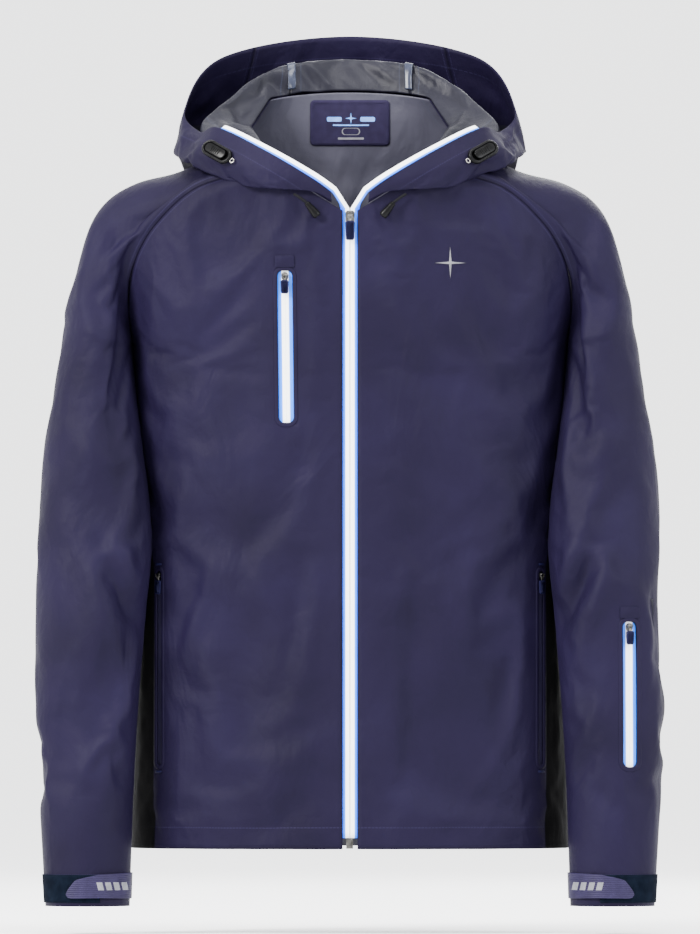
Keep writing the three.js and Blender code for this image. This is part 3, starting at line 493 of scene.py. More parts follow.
def makeStudio():
    camera = bpy.data.objects.new("camera", bpy.data.cameras.new("camera"))
    camera.data.lens = studio["lens"]
    camera.data.clip_end = 200
    camera.location = (0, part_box("front_panel_right")[0].y - studio["distance"], studio["height"])
    camera.rotation_euler = (math.radians(90), 0, 0)
    scene.collection.objects.link(camera)
    scene.camera = camera
    bm = bmesh.new()
    bmesh.ops.create_grid(bm, x_segments=8, y_segments=8, size=studio["floorSize"] / 2)
    bmesh.ops.translate(bm, verts=bm.verts, vec=(0, 0, cadBounds[0].z - studio["floorDrop"]))
    mesh = bpy.data.meshes.new("floor")
    bm.to_mesh(mesh)
    bm.free()
    floor = bpy.data.objects.new("floor", mesh)
    scene.collection.objects.link(floor)
    paint, _, _, shader = newMaterial("pale floor", (0.8, 0.8, 0.805), 0.9, 0, 0.0)
    shader.inputs["Emission Color"].default_value = (*studio["roomColor"], 1)
    shader.inputs["Emission Strength"].default_value = studio["room"] * 0.2
    mesh.materials.append(paint)
    world = bpy.data.worlds.new("pale room")
    world.use_nodes = True
    world.node_tree.nodes["Background"].inputs["Color"].default_value = (*studio["roomColor"], 1)
    world.node_tree.nodes["Background"].inputs["Strength"].default_value = studio["room"]
    scene.world = world
    for name, place, size, power, color in studio["lights"]:
        light = bpy.data.objects.new(name, bpy.data.lights.new(name, "AREA"))
        light.data.size = size
        light.data.energy = power
        light.data.color = color
        light.location = place
        light.rotation_euler = (Vector((0, 0, -0.4)) - Vector(place)).to_track_quat("-Z", "Y").to_euler()
        light.visible_camera = False
        scene.collection.objects.link(light)


makeStudio()


def meshPiece(name, bm, *materials, smooth=True):
    mesh = bpy.data.meshes.new(name)
    bm.to_mesh(mesh)
    bm.free()
    if smooth:
        mesh.shade_smooth()
    piece = bpy.data.objects.new(name, mesh)
    scene.collection.objects.link(piece)
    for material in materials:
        mesh.materials.append(material)
    return piece


def fasten(piece, body, slot, *nodes):
    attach(piece, body)
    if nodes:
        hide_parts(*nodes)
    return piece


# cords first: two drawcord tails out of the lapels, each with a bell
cordTail = {"diameter": 3, "points": [[60, -116.9, 699.6], [56.5, -117.3, 697.6], [53, -117.7, 695.4],
                                      [49.6, -117.9, 692.8], [46.5, -118, 690.2], [36.8, -118, 678.6]],
            "bell": [(2.1, 0), (2.7, 0.1), (3.05, 0.8), (3.2, 4), (3.85, 9), (4.5, 15), (4.5, 17.2), (3.9, 18.5),
                     (2.7, 19), (0, 19)], "bore": 15.7}


def throughPoints(points, steps):
    # a smooth run through the points
    ends = [points[0] * 2 - points[1], *points, points[-1] * 2 - points[-2]]
    run = []
    for i in range(1, len(ends) - 2):
        p0, p1, p2, p3 = ends[i - 1:i + 3]
        for step in range(steps):
            t = step / steps
            run.append(0.5 * (2 * p1 + (p2 - p0) * t + (2 * p0 - 5 * p1 + 4 * p2 - p3) * t * t
                              + (3 * p1 - p0 - 3 * p2 + p3) * t ** 3))
    return [*run, points[-1]]


def makeTail(sideName, side):
    points = [toFrame(Vector((side * x, y, z))) for x, y, z in cordTail["points"]]
    run = throughPoints(points, 5)
    curve = bpy.data.curves.new("drawcord", "CURVE")
    curve.dimensions = "3D"
    curve.bevel_depth = cordTail["diameter"] / 2 * mm
    curve.bevel_resolution = 4
    curve.use_fill_caps = True
    spline = curve.splines.new("POLY")
    spline.points.add(len(run) - 1)
    for point, place in zip(spline.points, run):
        point.co = (*place, 1)
    curve.materials.append(looks["cord"])
    tail = bpy.data.objects.new(f"drawcord_{sideName}", curve)
    scene.collection.objects.link(tail)
    fasten(tail, "garment", "cord_black", f"drawcord_tail_{sideName}")
    bm = bmesh.new()
    ring = [bm.verts.new((x * mm, 0, z * mm)) for x, z in cordTail["bell"]]
    edges = [bm.edges.new(pair) for pair in zip(ring, ring[1:])]
    bmesh.ops.spin(bm, geom=ring + edges, cent=(0, 0, 0), axis=(0, 0, 1), angle=math.tau, steps=40,
                   use_merge=True)
    bmesh.ops.remove_doubles(bm, verts=bm.verts, dist=1e-6)
    inner = bmesh.ops.extrude_edge_only(bm, edges=[e for e in bm.edges if e.is_boundary])["geom"]
    bmesh.ops.translate(bm, verts=[v for v in inner if isinstance(v, bmesh.types.BMVert)],
                        vec=(0, 0, cordTail["bore"] * mm))
    bmesh.ops.contextual_create(bm, geom=[e for e in bm.edges if e.is_boundary])
    bmesh.ops.recalc_face_normals(bm, faces=bm.faces)
    turn = Vector((0, 0, 1)).rotation_difference((points[5] - points[4]).normalized()).to_matrix().to_4x4()
    bmesh.ops.transform(bm, matrix=Matrix.Translation(points[4]) @ turn, verts=bm.verts)
    bell = fasten(meshPiece(f"bell_{sideName}", bm, looks["black"]), "garment", "moulded_black",
                  f"cord_bell_{sideName}")
    length = sum((b - a).length for a, b in zip(run, run[1:]))
    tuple(run[0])
    print(f"drawcord {sideName}: {length:.4f} m")


for sideName, side in sides:
    makeTail(sideName, side)


# cloth sheets
def clothGrid(surface, columns, rows, facing=None, seamOf=None, hemOf=None):
    # a grid laid on a surface; s and t stay on the points, and the maps are in metres
    bm = bmesh.new()
    bmesh.ops.create_grid(bm, x_segments=columns, y_segments=rows, size=0.5)
    sLayer = bm.verts.layers.float.new("s")
    tLayer = bm.verts.layers.float.new("t")
    for v in bm.verts:
        v[sLayer], v[tLayer] = v.co.x + 0.5, v.co.y + 0.5
        v.co = toFrame(surface(v[sLayer], v[tLayer]))
    bm.normal_update()
    if facing:
        s, t, direction = facing
        nearest = min(bm.verts, key=lambda v: (v[sLayer] - s) ** 2 + (v[tLayer] - t) ** 2)
        if nearest.normal.dot(Vector(direction)) < 0:
            bmesh.ops.reverse_faces(bm, faces=bm.faces)
            bm.normal_update()
    samples = [i / 20 for i in range(21)]
    width = max(sum((surface(a, t) - surface(b, t)).length for a, b in zip(samples, samples[1:])) for t in samples)
    length = max(sum((surface(s, a) - surface(s, b)).length for a, b in zip(samples, samples[1:])) for s in samples)
    clothMap = bm.loops.layers.uv.new("cloth")
    seamMap = bm.loops.layers.uv.new("seams")
    far = 100
    edges = {v: (seamOf(v[sLayer], v[tLayer]) if seamOf else far, hemOf(v[sLayer], v[tLayer]) if hemOf else far)
             for v in bm.verts}
    for face in bm.faces:
        for loop in face.loops:
            loop[clothMap].uv = (loop.vert[sLayer] * width * mm, loop.vert[tLayer] * length * mm)
            loop[seamMap].uv = (edges[loop.vert][0] * mm, edges[loop.vert][1] * mm)
    return bm, (width * mm, length * mm), sum(f.calc_area() for f in bm.faces)


def addFolds(bm, folds, facingY, windows=()):
    # each fold runs from (x, z) to (x, z) in the pattern, as seen from the front, with a half width and a height
    bm.normal_update()
    normals = {v: v.normal.copy() for v in bm.verts}
    for v in bm.verts:
        if normals[v].y * facingY < 0.05:
            continue
        place = toPattern(v.co)
        shift = 0
        for x0, z0, x1, z1, spread, height in folds:
            start, line = Vector((x0, z0)), Vector((x1 - x0, z1 - z0))
            offset = Vector((place.x, place.z)) - start
            share = min(max(offset.dot(line) / line.length_squared, 0), 1)
            away = (offset - line * share).length / spread
            if away < 2.5:
                shift += height * math.sin(math.pi * min(max(share, 0.04), 0.96)) ** 0.6 * math.exp(-away * away)
        if shift:
            free = 1 - max([0, *(nearWindow(v, name) for name in windows)])
            v.co += normals[v] * (shift * free * ease(0.05, 0.35, normals[v].y * facingY) * mm)


def drape(piece, pin, grow, cap, gravity=0.4, frames=16):
    # a short cloth simulation with the seams held; the cloth is a little larger than its seams, so it buckles
    group = piece.vertex_groups.new(name="seams")
    for index, weight in enumerate(pin):
        if weight > 0:
            group.add([index], weight, "REPLACE")
    rest = [v.co.copy() for v in piece.data.vertices]
    cloth = piece.modifiers.new("Cloth", "CLOTH")
    cloth.settings.quality = 4
    cloth.settings.mass = 0.2
    cloth.settings.air_damping = 2
    cloth.settings.tension_stiffness = 20
    cloth.settings.compression_stiffness = 20
    cloth.settings.shear_stiffness = 10
    cloth.settings.bending_stiffness = 0.5
    cloth.settings.vertex_group_mass = group.name
    cloth.settings.shrink_min = -grow
    cloth.settings.effector_weights.gravity = gravity
    cloth.collision_settings.use_collision = False
    cloth.point_cache.frame_start = 1
    cloth.point_cache.frame_end = frames
    for number in range(1, frames + 1):
        scene.frame_set(number)
    moved = [v.co.copy() for v in piece.evaluated_get(bpy.context.evaluated_depsgraph_get()).data.vertices]
    piece.modifiers.remove(cloth)
    piece.vertex_groups.remove(group)
    scene.frame_set(1)
    for vertex, before, after, weight in zip(piece.data.vertices, rest, moved, pin):
        step = (after - before) * (1 - weight)
        if step.length > cap:
            step *= cap * (2 - cap / step.length) / step.length
        vertex.co = before + step
    piece.data.update()


def addWall(piece, thickness, liningOffset=0):
    wall = piece.modifiers.new("wall", "SOLIDIFY")
    wall.thickness = thickness * mm
    wall.offset = 0
    wall.material_offset = liningOffset


def finishSheet(piece, nodes, slot, flat, area, thickness=1.4, body="garment",
                level=1, liningOffset=1):
    if level:
        smooth = piece.modifiers.new("smooth", "SUBSURF")
        smooth.levels = smooth.render_levels = level
        smooth.boundary_smooth = "PRESERVE_CORNERS"
    addWall(piece, thickness, liningOffset)
    fasten(piece, body, slot, *nodes)
    min(area, flat[0] * flat[1])
    print(f"{piece.name}: cut {flat[0]:.3f} x {flat[1]:.3f} m, {area:.4f} m2")


def pinWeights(bm, weightOf, held=()):
    sLayer, tLayer = bm.verts.layers.float["s"], bm.verts.layers.float["t"]
    return [min(1, max(0, weightOf(v[sLayer], v[tLayer]), *(nearWindow(v, name) for name in held)))
            for v in bm.verts]


# pocket zips and the chest mark: length, opening, how deep the tape lies and how the ends are rounded
zips = {
    "chest": {"length": 163, "window": 16.5, "tape": 21.5, "sink": 2.2, "round": 6.5, "lip": 4.5, "fold": -1.3},
    "hand": {"length": 208, "window": 7, "tape": 14, "sink": 2.8, "round": 3.4, "lip": 4.5, "fold": -0.5},
    "forearm": {"length": 156, "window": 15.5, "tape": 20.5, "sink": 3.2, "round": 6.5, "lip": 5, "fold": -2.2},
    "mark": {"length": 30, "window": 30},
}


def surfaceNormal(pointAt, x, z):
    across = pointAt(x + 1, z) - pointAt(x - 1, z)
    up = pointAt(x, z + 1) - pointAt(x, z - 1)
    return across.cross(up).normalized()


def zipFrames():
    frames = {}
    low, high = torsoPoint(-67.9, 455), torsoPoint(-69.8, 618)
    frames["chest"] = frameAt((low + high) / 2, high - low, surfaceNormal(torsoPoint, -69, 536))
    for sideName, side in sides:
        low, high = torsoPoint(side * 204, 93), torsoPoint(side * 204, 293)
        frames[f"hand_{sideName}"] = frameAt((low + high) / 2, high - low,
                                             surfaceNormal(torsoPoint, side * 204, 193))
    around, stations = 0.305, (12.72, 11.0)
    low, high = sleevePoint(1, around, stations[0]), sleevePoint(1, around, stations[1])
    station = sum(stations) / 2
    wide = sleevePoint(1, around + 0.01, station) - sleevePoint(1, around - 0.01, station)
    tall = sleevePoint(1, around, station - 0.05) - sleevePoint(1, around, station)
    frames["forearm"] = frameAt((low + high) / 2, high - low, wide.cross(tall).normalized())
    frames["mark"] = frameAt(torsoPoint(107, 626), Vector((0, 0, 1)), surfaceNormal(torsoPoint, 107, 626))
    return frames


zipFrame = zipFrames()
clothUnder = {}      # the finished cloth round each window, for the pieces laid on it


def zipOf(name):
    return zips[name.split("_")[0]]


def nearWindow(v, name):
    size = zipOf(name)
    offset = toPattern(v.co) - zipFrame[name].translation
    x = abs(offset.dot(zipFrame[name].col[0].xyz)) - size["window"] / 2
    z = abs(offset.dot(zipFrame[name].col[2].xyz)) - size["length"] / 2
    y = abs(offset.dot(zipFrame[name].col[1].xyz))
    return (1 - ease(11, 26, max(x, z))) * (1 - ease(40, 60, y))


def cutWindow(bm, name):
    # the opening behind the lip is cut along its four sides, and its middle taken out
    size = zipOf(name)
    origin = toFrame(zipFrame[name].translation)
    axisX, axisY, axisZ = (zipFrame[name].col[i].xyz for i in range(3))
    halfWidth, halfLength = (size["window"] / 2 + 1.5) * mm, (size["length"] / 2 + 1.5) * mm

    def near(face, reachX, reachZ):
        offset = face.calc_center_median() - origin
        return (abs(offset.dot(axisX)) < reachX and abs(offset.dot(axisZ)) < reachZ
                and abs(offset.dot(axisY)) < 20 * mm)

    for axis, reach in ((axisX, halfWidth), (axisZ, halfLength)):
        for sign in (-1, 1):
            close = [f for f in bm.faces if near(f, halfWidth + 12 * mm, halfLength + 12 * mm)]
            geometry = {*close, *(e for f in close for e in f.edges), *(v for f in close for v in f.verts)}
            bmesh.ops.bisect_plane(bm, geom=list(geometry), dist=2e-4, plane_co=origin + axis * (sign * reach),
                                   plane_no=axis * sign)
    bmesh.ops.delete(bm, geom=[f for f in bm.faces if near(f, halfWidth - 1e-5, halfLength - 1e-5)], context="FACES")
    bmesh.ops.triangulate(bm, faces=[f for f in bm.faces if len(f.verts) > 4])


def markPaintedSideShade(bm, index):
    # painted shade: a near-black strip down each side of the body stands in for the shade between sleeves and body; its
    # edge is straight, and it narrows to the armpit
    paintedSideShade = cut["paintedSideShade"]
    rise = Vector((paintedSideShade["topX"] - paintedSideShade["x"], 0, paintedSideShade["top"] - paintedSideShade["widenFrom"]))
    for side in (-1, 1):
        for normal in ((side, 0, 0), (side * rise.z, 0, -rise.x)):
            bmesh.ops.bisect_plane(bm, geom=[*bm.verts, *bm.edges, *bm.faces], dist=2e-4, plane_no=normal,
                                   plane_co=toFrame(Vector((side * paintedSideShade["x"], 0, paintedSideShade["widenFrom"]))))
    for face in bm.faces:
        middle = toPattern(face.calc_center_median())
        edge = paintedSideShade["x"] + max(0, middle.z - paintedSideShade["widenFrom"]) * rise.x / rise.z
        if abs(middle.x) > edge and middle.z < paintedSideShade["top"]:
            face.material_index = index
    bmesh.ops.triangulate(bm, faces=[f for f in bm.faces if len(f.verts) > 4])


frontCloth = {"columns": 34, "rows": 104, "grow": 0.016, "cap": 0.005,
              "windows": {"right": ("chest", "hand_right"), "left": ("hand_left",)},
              "held": {"right": (), "left": ("mark",)}}
frontFolds = [(-150, 304, -178, 205, 9, 4.5), (-160, 300, -195, 190, 10, -4.5), (-138, 300, -152, 60, 22, 4),
              (-36, 322, -56, 150, 9, 4), (-50, 315, -68, 160, 10, -4.5), (-96, 330, -102, 250, 10, 3),
              (-120, 250, -112, 90, 20, -4), (-180, 150, -176, 30, 14, 3.5), (-90, 120, -84, 20, 20, 3),
              (58, 312, 46, 80, 11, 4), (76, 300, 60, 70, 12, -4), (190, 260, 172, 120, 10, 4),
              (176, 230, 160, 110, 10, -4), (130, 330, 118, 200, 16, 3), (110, 180, 120, 30, 20, -3.5),
              (-150, 560, -200, 600, 16, 4), (150, 555, 200, 600, 16, 4), (-190, 470, -160, 540, 18, -4),
              (190, 470, 160, 540, 18, -4), (-170, 420, -190, 310, 14, 3), (165, 420, 185, 310, 14, 3)]


def makeFront(sideName, side):
    surface = frontSurface(side)
    bm, flat, area = clothGrid(surface, frontCloth["columns"], frontCloth["rows"], (0.5, 0.5, (0, -1, 0)),
                               lambda s, t: (surface(s, t) - surface(1, t)).length,
                               lambda s, t: surface(s, t).z)
    windows, held = frontCloth["windows"][sideName], frontCloth["held"][sideName]
    addFolds(bm, frontFolds, -1, [*windows, *held])
    for name in (*windows, *held):
        clothUnder[name] = BVHTree.FromBMesh(bm)
    for name in windows:
        cutWindow(bm, name)
    # material 2 is the painted shade on the body's sides
    markPaintedSideShade(bm, 2)
    pins = pinWeights(bm, lambda s, t: max(1 - ease(0.0, 0.12, s), ease(0.93, 0.985, s), ease(0.94, 0.99, t),
                                           0.6 * (1 - ease(0, 0.03, t)), 0.7 * ease(0.8, 0.93, s)),
                      (*windows, *held))
    piece = meshPiece(f"front_{sideName}", bm, looks["shell"], looks["paintedLightLining"], looks["paintedSideShade"],
                      looks["paintedLightLining"])
    drape(piece, pins, grow=frontCloth["grow"], cap=frontCloth["cap"])
    finishSheet(piece, [f"front_panel_{sideName}"], "shell_fabric", flat, area)


backFolds = [(-110, 420, -90, 120, 24, 5), (-70, 400, -50, 100, 20, -4), (20, 380, 10, 90, 22, 4.5),
             (90, 430, 110, 120, 24, -4.5), (150, 360, 160, 120, 20, 4), (-170, 330, -165, 90, 20, -4),
             (-200, 560, -90, 600, 16, 4), (200, 560, 90, 600, 16, 4), (-190, 520, -60, 560, 16, -3.5),
             (190, 520, 60, 560, 16, -3.5), (-60, 660, 60, 665, 22, -3)]


def makeBack():
    def seamOf(s, t):
        return (backSurface(s, t) - backSurface(0 if s < 0.5 else 1, t)).length
    bm, flat, area = clothGrid(backSurface, 66, 104, (0.5, 0.5, (0, 1, 0)), seamOf, lambda s, t: backSurface(s, t).z)
    addFolds(bm, backFolds, 1)
    # material 2 is the painted shade on the body's sides
    markPaintedSideShade(bm, 2)
    pins = pinWeights(bm, lambda s, t: max(ease(0.93, 0.985, abs(2 * s - 1)), ease(0.77, 0.85, t),
                                           0.6 * (1 - ease(0, 0.03, t))))
    piece = meshPiece("back", bm, looks["shell"], looks["paintedLightLining"], looks["paintedSideShade"], looks["paintedLightLining"])
    drape(piece, pins, grow=0.018, cap=0.007)
    finishSheet(piece, ["back_panel"], "shell_fabric", flat, area)


# sleeve folds as seen on a left sleeve; the elbow's fold is a deep hollow with the upper sleeve bulging over it
sleeveFolds = {
    "front": [(264, 324, 222, 236, 11, -19), (250, 336, 226, 262, 10, 7), (280, 332, 236, 332, 7, -5),
              (278, 316, 246, 200, 12, 8), (316, 400, 262, 350, 18, -6), (300, 450, 240, 400, 16, 5.5),
              (318, 330, 300, 220, 16, 4), (290, 118, 276, 60, 12, 4.5), (258, 118, 242, 66, 10, -5),
              (262, 150, 240, 70, 12, 4), (270, 700, 236, 590, 12, -5), (282, 690, 254, 560, 14, 4.5),
              (300, 590, 292, 470, 18, -4), (272, 560, 262, 470, 16, 4), (312, 200, 306, 80, 14, -3.5)],
    "back": [(300, 560, 280, 400, 18, 5), (270, 500, 250, 350, 16, -4.5), (310, 380, 250, 330, 14, 5),
             (300, 340, 245, 290, 14, -5), (280, 250, 270, 80, 18, 4)],
}


def makeSleeve(sideName, side):
    surface = sleeveSurface(side)

    def seamOf(s, t):
        return (surface(s, t) - surface(0 if s < 0.5 else 1, t)).length
    bm, flat, area = clothGrid(surface, 60, 124, (0.25, 0.8, (0, -1, 0)), seamOf,
                               lambda s, t: surface(s, t).z + sleeveCut["hemShift"])
    windows = ("forearm",) if side > 0 else ()
    for part, facing in (("front", -1), ("back", 1)):
        addFolds(bm, [(side * x0, z0, side * x1, z1, spread, height)
                      for x0, z0, x1, z1, spread, height in sleeveFolds[part]], facing, windows)
    sLayer, tLayer = bm.verts.layers.float["s"], bm.verts.layers.float["t"]
    underarm = [v for v in bm.verts if v[tLayer] > 0.499 and (v[sLayer] < 0.001 or v[sLayer] > 0.999)]
    bmesh.ops.remove_doubles(bm, verts=underarm, dist=0.0004)
    for name in windows:
        clothUnder[name] = BVHTree.FromBMesh(bm)
        cutWindow(bm, name)
    pins = pinWeights(bm, lambda s, t: max(1 - ease(0.0, 0.035, min(s, 1 - s)), 1 - ease(0.0, 0.02, t),
                                           ease(0.92, 0.96, t), 0.6 * (1 - ease(0.035, 0.12, min(s, 1 - s)))),
                      windows)
    piece = meshPiece(f"sleeve_cloth_{sideName}", bm, looks["shell"], looks["paintedLightLining"])
    drape(piece, pins, grow=0.02, cap=0.006)
    finishSheet(piece, [f"sleeve_{sideName}"], "shell_fabric", flat, area)


def shapeHood(bm):
    # the wide facing inside the brim is shell cloth, the rest of the inside is lining
    tLayer = bm.verts.layers.float["t"]
    for face in bm.faces:
        across = 5 * sum(v[tLayer] for v in face.verts) / len(face.verts)
        face.material_index = 2 if across > hoodCut["facingFrom"] else 0


# creases over the roll of the lining, from (x, z) to (x, z)
hoodFolds = [(-58, 842, -30, 812, 5, 3.5), (-46, 843, -18, 816, 5, -3), (-96, 834, -60, 800, 7, 4),
             (-78, 838, -44, 806, 6, -3.5), (8, 846, 34, 818, 6, 3.5), (24, 846, 52, 822, 6, -3),
             (58, 842, 92, 814, 7, 4), (112, 826, 128, 790, 8, -3.5), (-128, 812, -112, 770, 8, 4),
             (-140, 800, -126, 760, 8, -3.5), (96, 836, 118, 800, 7, 3)]


def makeHood():
    hoodLooks = (looks["shell"], looks["lining"], looks["shell"], looks["shell"])
    for sideName, side in sides:
        def surface(s, t, side=side):
            return hoodPoint(side, hoodCut["front"] + s * (hoodCut["split"] - hoodCut["front"]), 5 * t)
        bm, flat, area = clothGrid(surface, 66, 48, (0.9, 0.6, (0, 0, -1)),
                                   lambda s, t: (surface(s, t) - surface(1, t)).length,
                                   lambda s, t: (surface(s, t) - surface(s, 1)).length)
        addFolds(bm, hoodFolds, 1)
        shapeHood(bm)
        pins = pinWeights(bm, lambda s, t: max(1 - ease(0, 0.05, t), ease(0.93, 0.97, t), 1 - ease(0.03, 0.3, s),
                                               ease(0.97, 0.995, s), ease(0.74, 0.78, t) * (1 - ease(0.5, 0.6, s))))
        piece = meshPiece(f"hood_{sideName}", bm, *hoodLooks)
        drape(piece, pins, grow=0.02, gravity=0.2, cap=0.005)
        finishSheet(piece, [f"hood_side_{sideName}"], "shell_fabric", flat, area)

    def center(s, t):
        across = 2 * s - 1
        side = -1 if across < 0 else 1
        return hoodPoint(side, 7 - abs(across) * (7 - hoodCut["split"]), 5 * t)
    bm, flat, area = clothGrid(center, 26, 48, (0.5, 0.6, (0, 0, -1)),
                               lambda s, t: min((center(s, t) - center(i, t)).length for i in (0, 1)),
                               lambda s, t: (center(s, t) - center(s, 1)).length)
    addFolds(bm, hoodFolds, 1)
    shapeHood(bm)
    pins = pinWeights(bm, lambda s, t: max(1 - ease(0, 0.05, t), ease(0.93, 0.97, t),
                                           ease(0.90, 0.98, abs(2 * s - 1))))
    piece = meshPiece("hood_center", bm, *hoodLooks)
    drape(piece, pins, grow=0.02, gravity=0.2, cap=0.005)
    finishSheet(piece, ["hood_center_panel"], "shell_fabric", flat, area)


for sideName, side in sides:
    makeFront(sideName, side)
    makeSleeve(sideName, side)
makeBack()
makeHood()
print("shell done")

# seam tapes sealed over the hood's two seams, on the lining
seamTape = {"width": 13, "stationWidth": 130, "from": 0.12, "to": 3.0, "lift": 1.8, "search": 12}
for sideName, side in sides:
    hoodCloth = bmesh.new()
    for name in ("hood_center", f"hood_side_{sideName}"):
        hoodCloth.from_mesh(bpy.data.objects[name].data)
    lining = BVHTree.FromBMesh(hoodCloth)
    hoodCloth.free()

    def tapeSurface(s, t, side=side, lining=lining):
        station = hoodCut["split"] + (s - 0.5) * seamTape["width"] / seamTape["stationWidth"]
        across = seamTape["from"] + (seamTape["to"] - seamTape["from"]) * t
        point = hoodPoint(side, station, across)
        alongWay = hoodPoint(side, station + 0.02, across) - hoodPoint(side, station - 0.02, across)
        acrossWay = hoodPoint(side, station, across + 0.02) - hoodPoint(side, station, across - 0.02)
        inward = alongWay.cross(acrossWay).normalized() * -side
        hit = lining.ray_cast(toFrame(point + inward * seamTape["search"]), -inward, 2 * seamTape["search"] * mm)[0]
        bulged = (toPattern(hit) - point).dot(inward) if hit else 0
        return point + inward * (max(0, bulged) + seamTape["lift"])
    bm, flat, area = clothGrid(tapeSurface, 4, 40)
    piece = meshPiece(f"seam_tape_{sideName}", bm, looks["seamTape"])
    finishSheet(piece, [], "lining_fabric", flat, area, thickness=0.3,
                liningOffset=0)

# front zip: two tapes that part above the slider and follow the lapels
zipLook = {"foot": 12, "head": 684, "sink": 2, "split": 0.25, "underlap": 5, "straight": 10, "lapel": 8,
           "faces": [[0, 0, -1, 0], [1, 0, -0.95, 0.3], [2, -0.05, -0.8, 0.6], [3, -0.1, -0.7, 0.7]]}
zipBase, zipTop = torsoPoint(0, 0), torsoPoint(0, zipLook["head"])
zipDirection = (zipTop - zipBase).normalized()
zipOut = Vector((1, 0, 0)).cross(zipDirection).normalized()


def tapeReach(t):
    # the tape's outer edge from the middle: hidden behind the panel below, free along the lapel
    reach = cut["zipHalf"] + zipLook["underlap"]
    free = ease(zipLook["straight"] - 0.5, zipLook["straight"] + 0.5, t * (zipLook["straight"] + zipLook["lapel"]))
    return reach + (cut["zipHalf"] - 0.6 - reach) * free


def frontTapeSurface(side):
    def surface(s, t):
        row = t * (zipLook["straight"] + zipLook["lapel"])
        distance = zipLook["split"] + (tapeReach(t) - zipLook["split"]) * s
        if row < zipLook["straight"] + 0.01:
            z = zipLook["foot"] + (zipLook["head"] - zipLook["foot"]) * row / zipLook["straight"]
            point = torsoPoint(0, z) - zipOut * zipLook["sink"]
            point.x = side * distance
            return point
        station = 0.35 + 2.6 * max(0, row - zipLook["straight"] - 1) / (zipLook["lapel"] - 1)
        tangent = (hoodPoint(side, station + 0.02, 5) - hoodPoint(side, station - 0.02, 5)).normalized()
        fx, fy, fz = along(zipLook["faces"], station)
        face = Vector((-side * fx, fy, fz)).normalized()
        wide = (tangent.cross(face) * -side).normalized()
        lapelPoint = (hoodPoint(side, station, 5) + wide * (cut["zipHalf"] - distance)
                      - face * zipLook["sink"])
        if row > zipLook["straight"] + 1:
            return lapelPoint
        top = torsoPoint(0, zipLook["head"]) - zipOut * zipLook["sink"]
        top.x = side * distance
        return top.lerp(lapelPoint, row - zipLook["straight"])
    return surface


for sideName, side in sides:
    bm, flat, area = clothGrid(frontTapeSurface(side), 12, 160, (0.5, 0.3, (0, -1, 0)))
    sLayer, tLayer = bm.verts.layers.float["s"], bm.verts.layers.float["t"]
    clothMap = bm.loops.layers.uv["cloth"]
    for face in bm.faces:
        for loop in face.loops:
            reach = tapeReach(loop.vert[tLayer])
            loop[clothMap].uv.x = (zipLook["split"] + (reach - zipLook["split"]) * loop.vert[sLayer]) * mm
    piece = meshPiece(f"front_zip_tape_{sideName}", bm, looks["frontTape"])
    finishSheet(piece, [f"front_tape_{sideName}"], "zip_white", flat, area, thickness=1,
                level=0, liningOffset=0)
print("front zip done")


# outlines lie in X and Z, and are stacked into closed shapes by (inset, height) steps
def roundedOutline(width, length, radius, steps=6, taper=0.0):
    # taper narrows the lower end
    corner = min(radius, width / 2 - 0.01, length / 2 - 0.01)
    points = []
    for cornerX, cornerZ, start in ((1, 1, 0), (-1, 1, 90), (-1, -1, 180), (1, -1, 270)):
        for i in range(steps + 1):
            turn = math.radians(start + 90 * i / steps)
            x = cornerX * (width / 2 - corner) + corner * math.cos(turn)
            z = cornerZ * (length / 2 - corner) + corner * math.sin(turn)
            points.append((x * (1 - taper * (0.5 - z / length)), z))
    return points


def bridged(bm, outlines, closed=True):
    # outlines are lists of places in the frame with one count of points, each bridged to the next
    loops = []
    for outline in outlines:
        verts = [bm.verts.new(place) for place in outline]
        loops.append([bm.edges.new((verts[i], verts[(i + 1) % len(verts)])) for i in range(len(verts))])
    for low, high in zip(loops, loops[1:]):
        bmesh.ops.bridge_loops(bm, edges=low + high)
    if closed:
        for loop in (loops[0], loops[-1]):
            bmesh.ops.contextual_create(bm, geom=loop)


def stack(bm, outlines):
    # the same from outlines in a piece's own millimetres
    bridged(bm, [[Vector(point) * mm for point in outline] for outline in outlines])


def layers(width, length, radius, steps, taper=0.0, middle=(0, 0)):
    # one rounded outline per (inset, height)
    return [[(x + middle[0], y, z + middle[1]) for x, z in
             roundedOutline(width - 2 * inset, length - 2 * inset, max(0.3, radius - inset), 6, taper)]
            for inset, y in steps]


def placed(bm, frameMatrix):
    # from a piece's own millimetres to its place in the frame
    bmesh.ops.recalc_face_normals(bm, faces=bm.faces)
    origin = toFrame(frameMatrix.translation)
    turn = frameMatrix.to_3x3().to_4x4()
    bmesh.ops.transform(bm, matrix=Matrix.Translation(origin) @ turn, verts=bm.verts)
    return bm


sliders = {
    "front": {"width": 10.4, "length": 18, "plate": 1.5, "pullWidth": 10.4, "pullLength": 26, "at": 673},
    "pocket": {"width": 8, "length": 9, "plate": 1.3, "pullWidth": 9.2, "pullLength": 20},
}
pullFit = {"gap": 0.3, "behind": -3.9, "neck": 1.9, "radius": 2.1, "clearance": 0.9, "bar": 0.85,
           "tabTop": 5.4, "wire": 0.62, "loop": 1.5, "stretch": 4.6}


def barCentre(size):
    return size["plate"] + pullFit["gap"] + pullFit["radius"] + pullFit["clearance"], size["length"] * 0.18


def crisp(piece, width=0.18, segments=2):
    bevel = piece.modifiers.new("soft edges", "BEVEL")
    bevel.width = width * mm
    bevel.segments = segments
    bevel.limit_method = "ANGLE"
    bevel.angle_limit = math.radians(40)


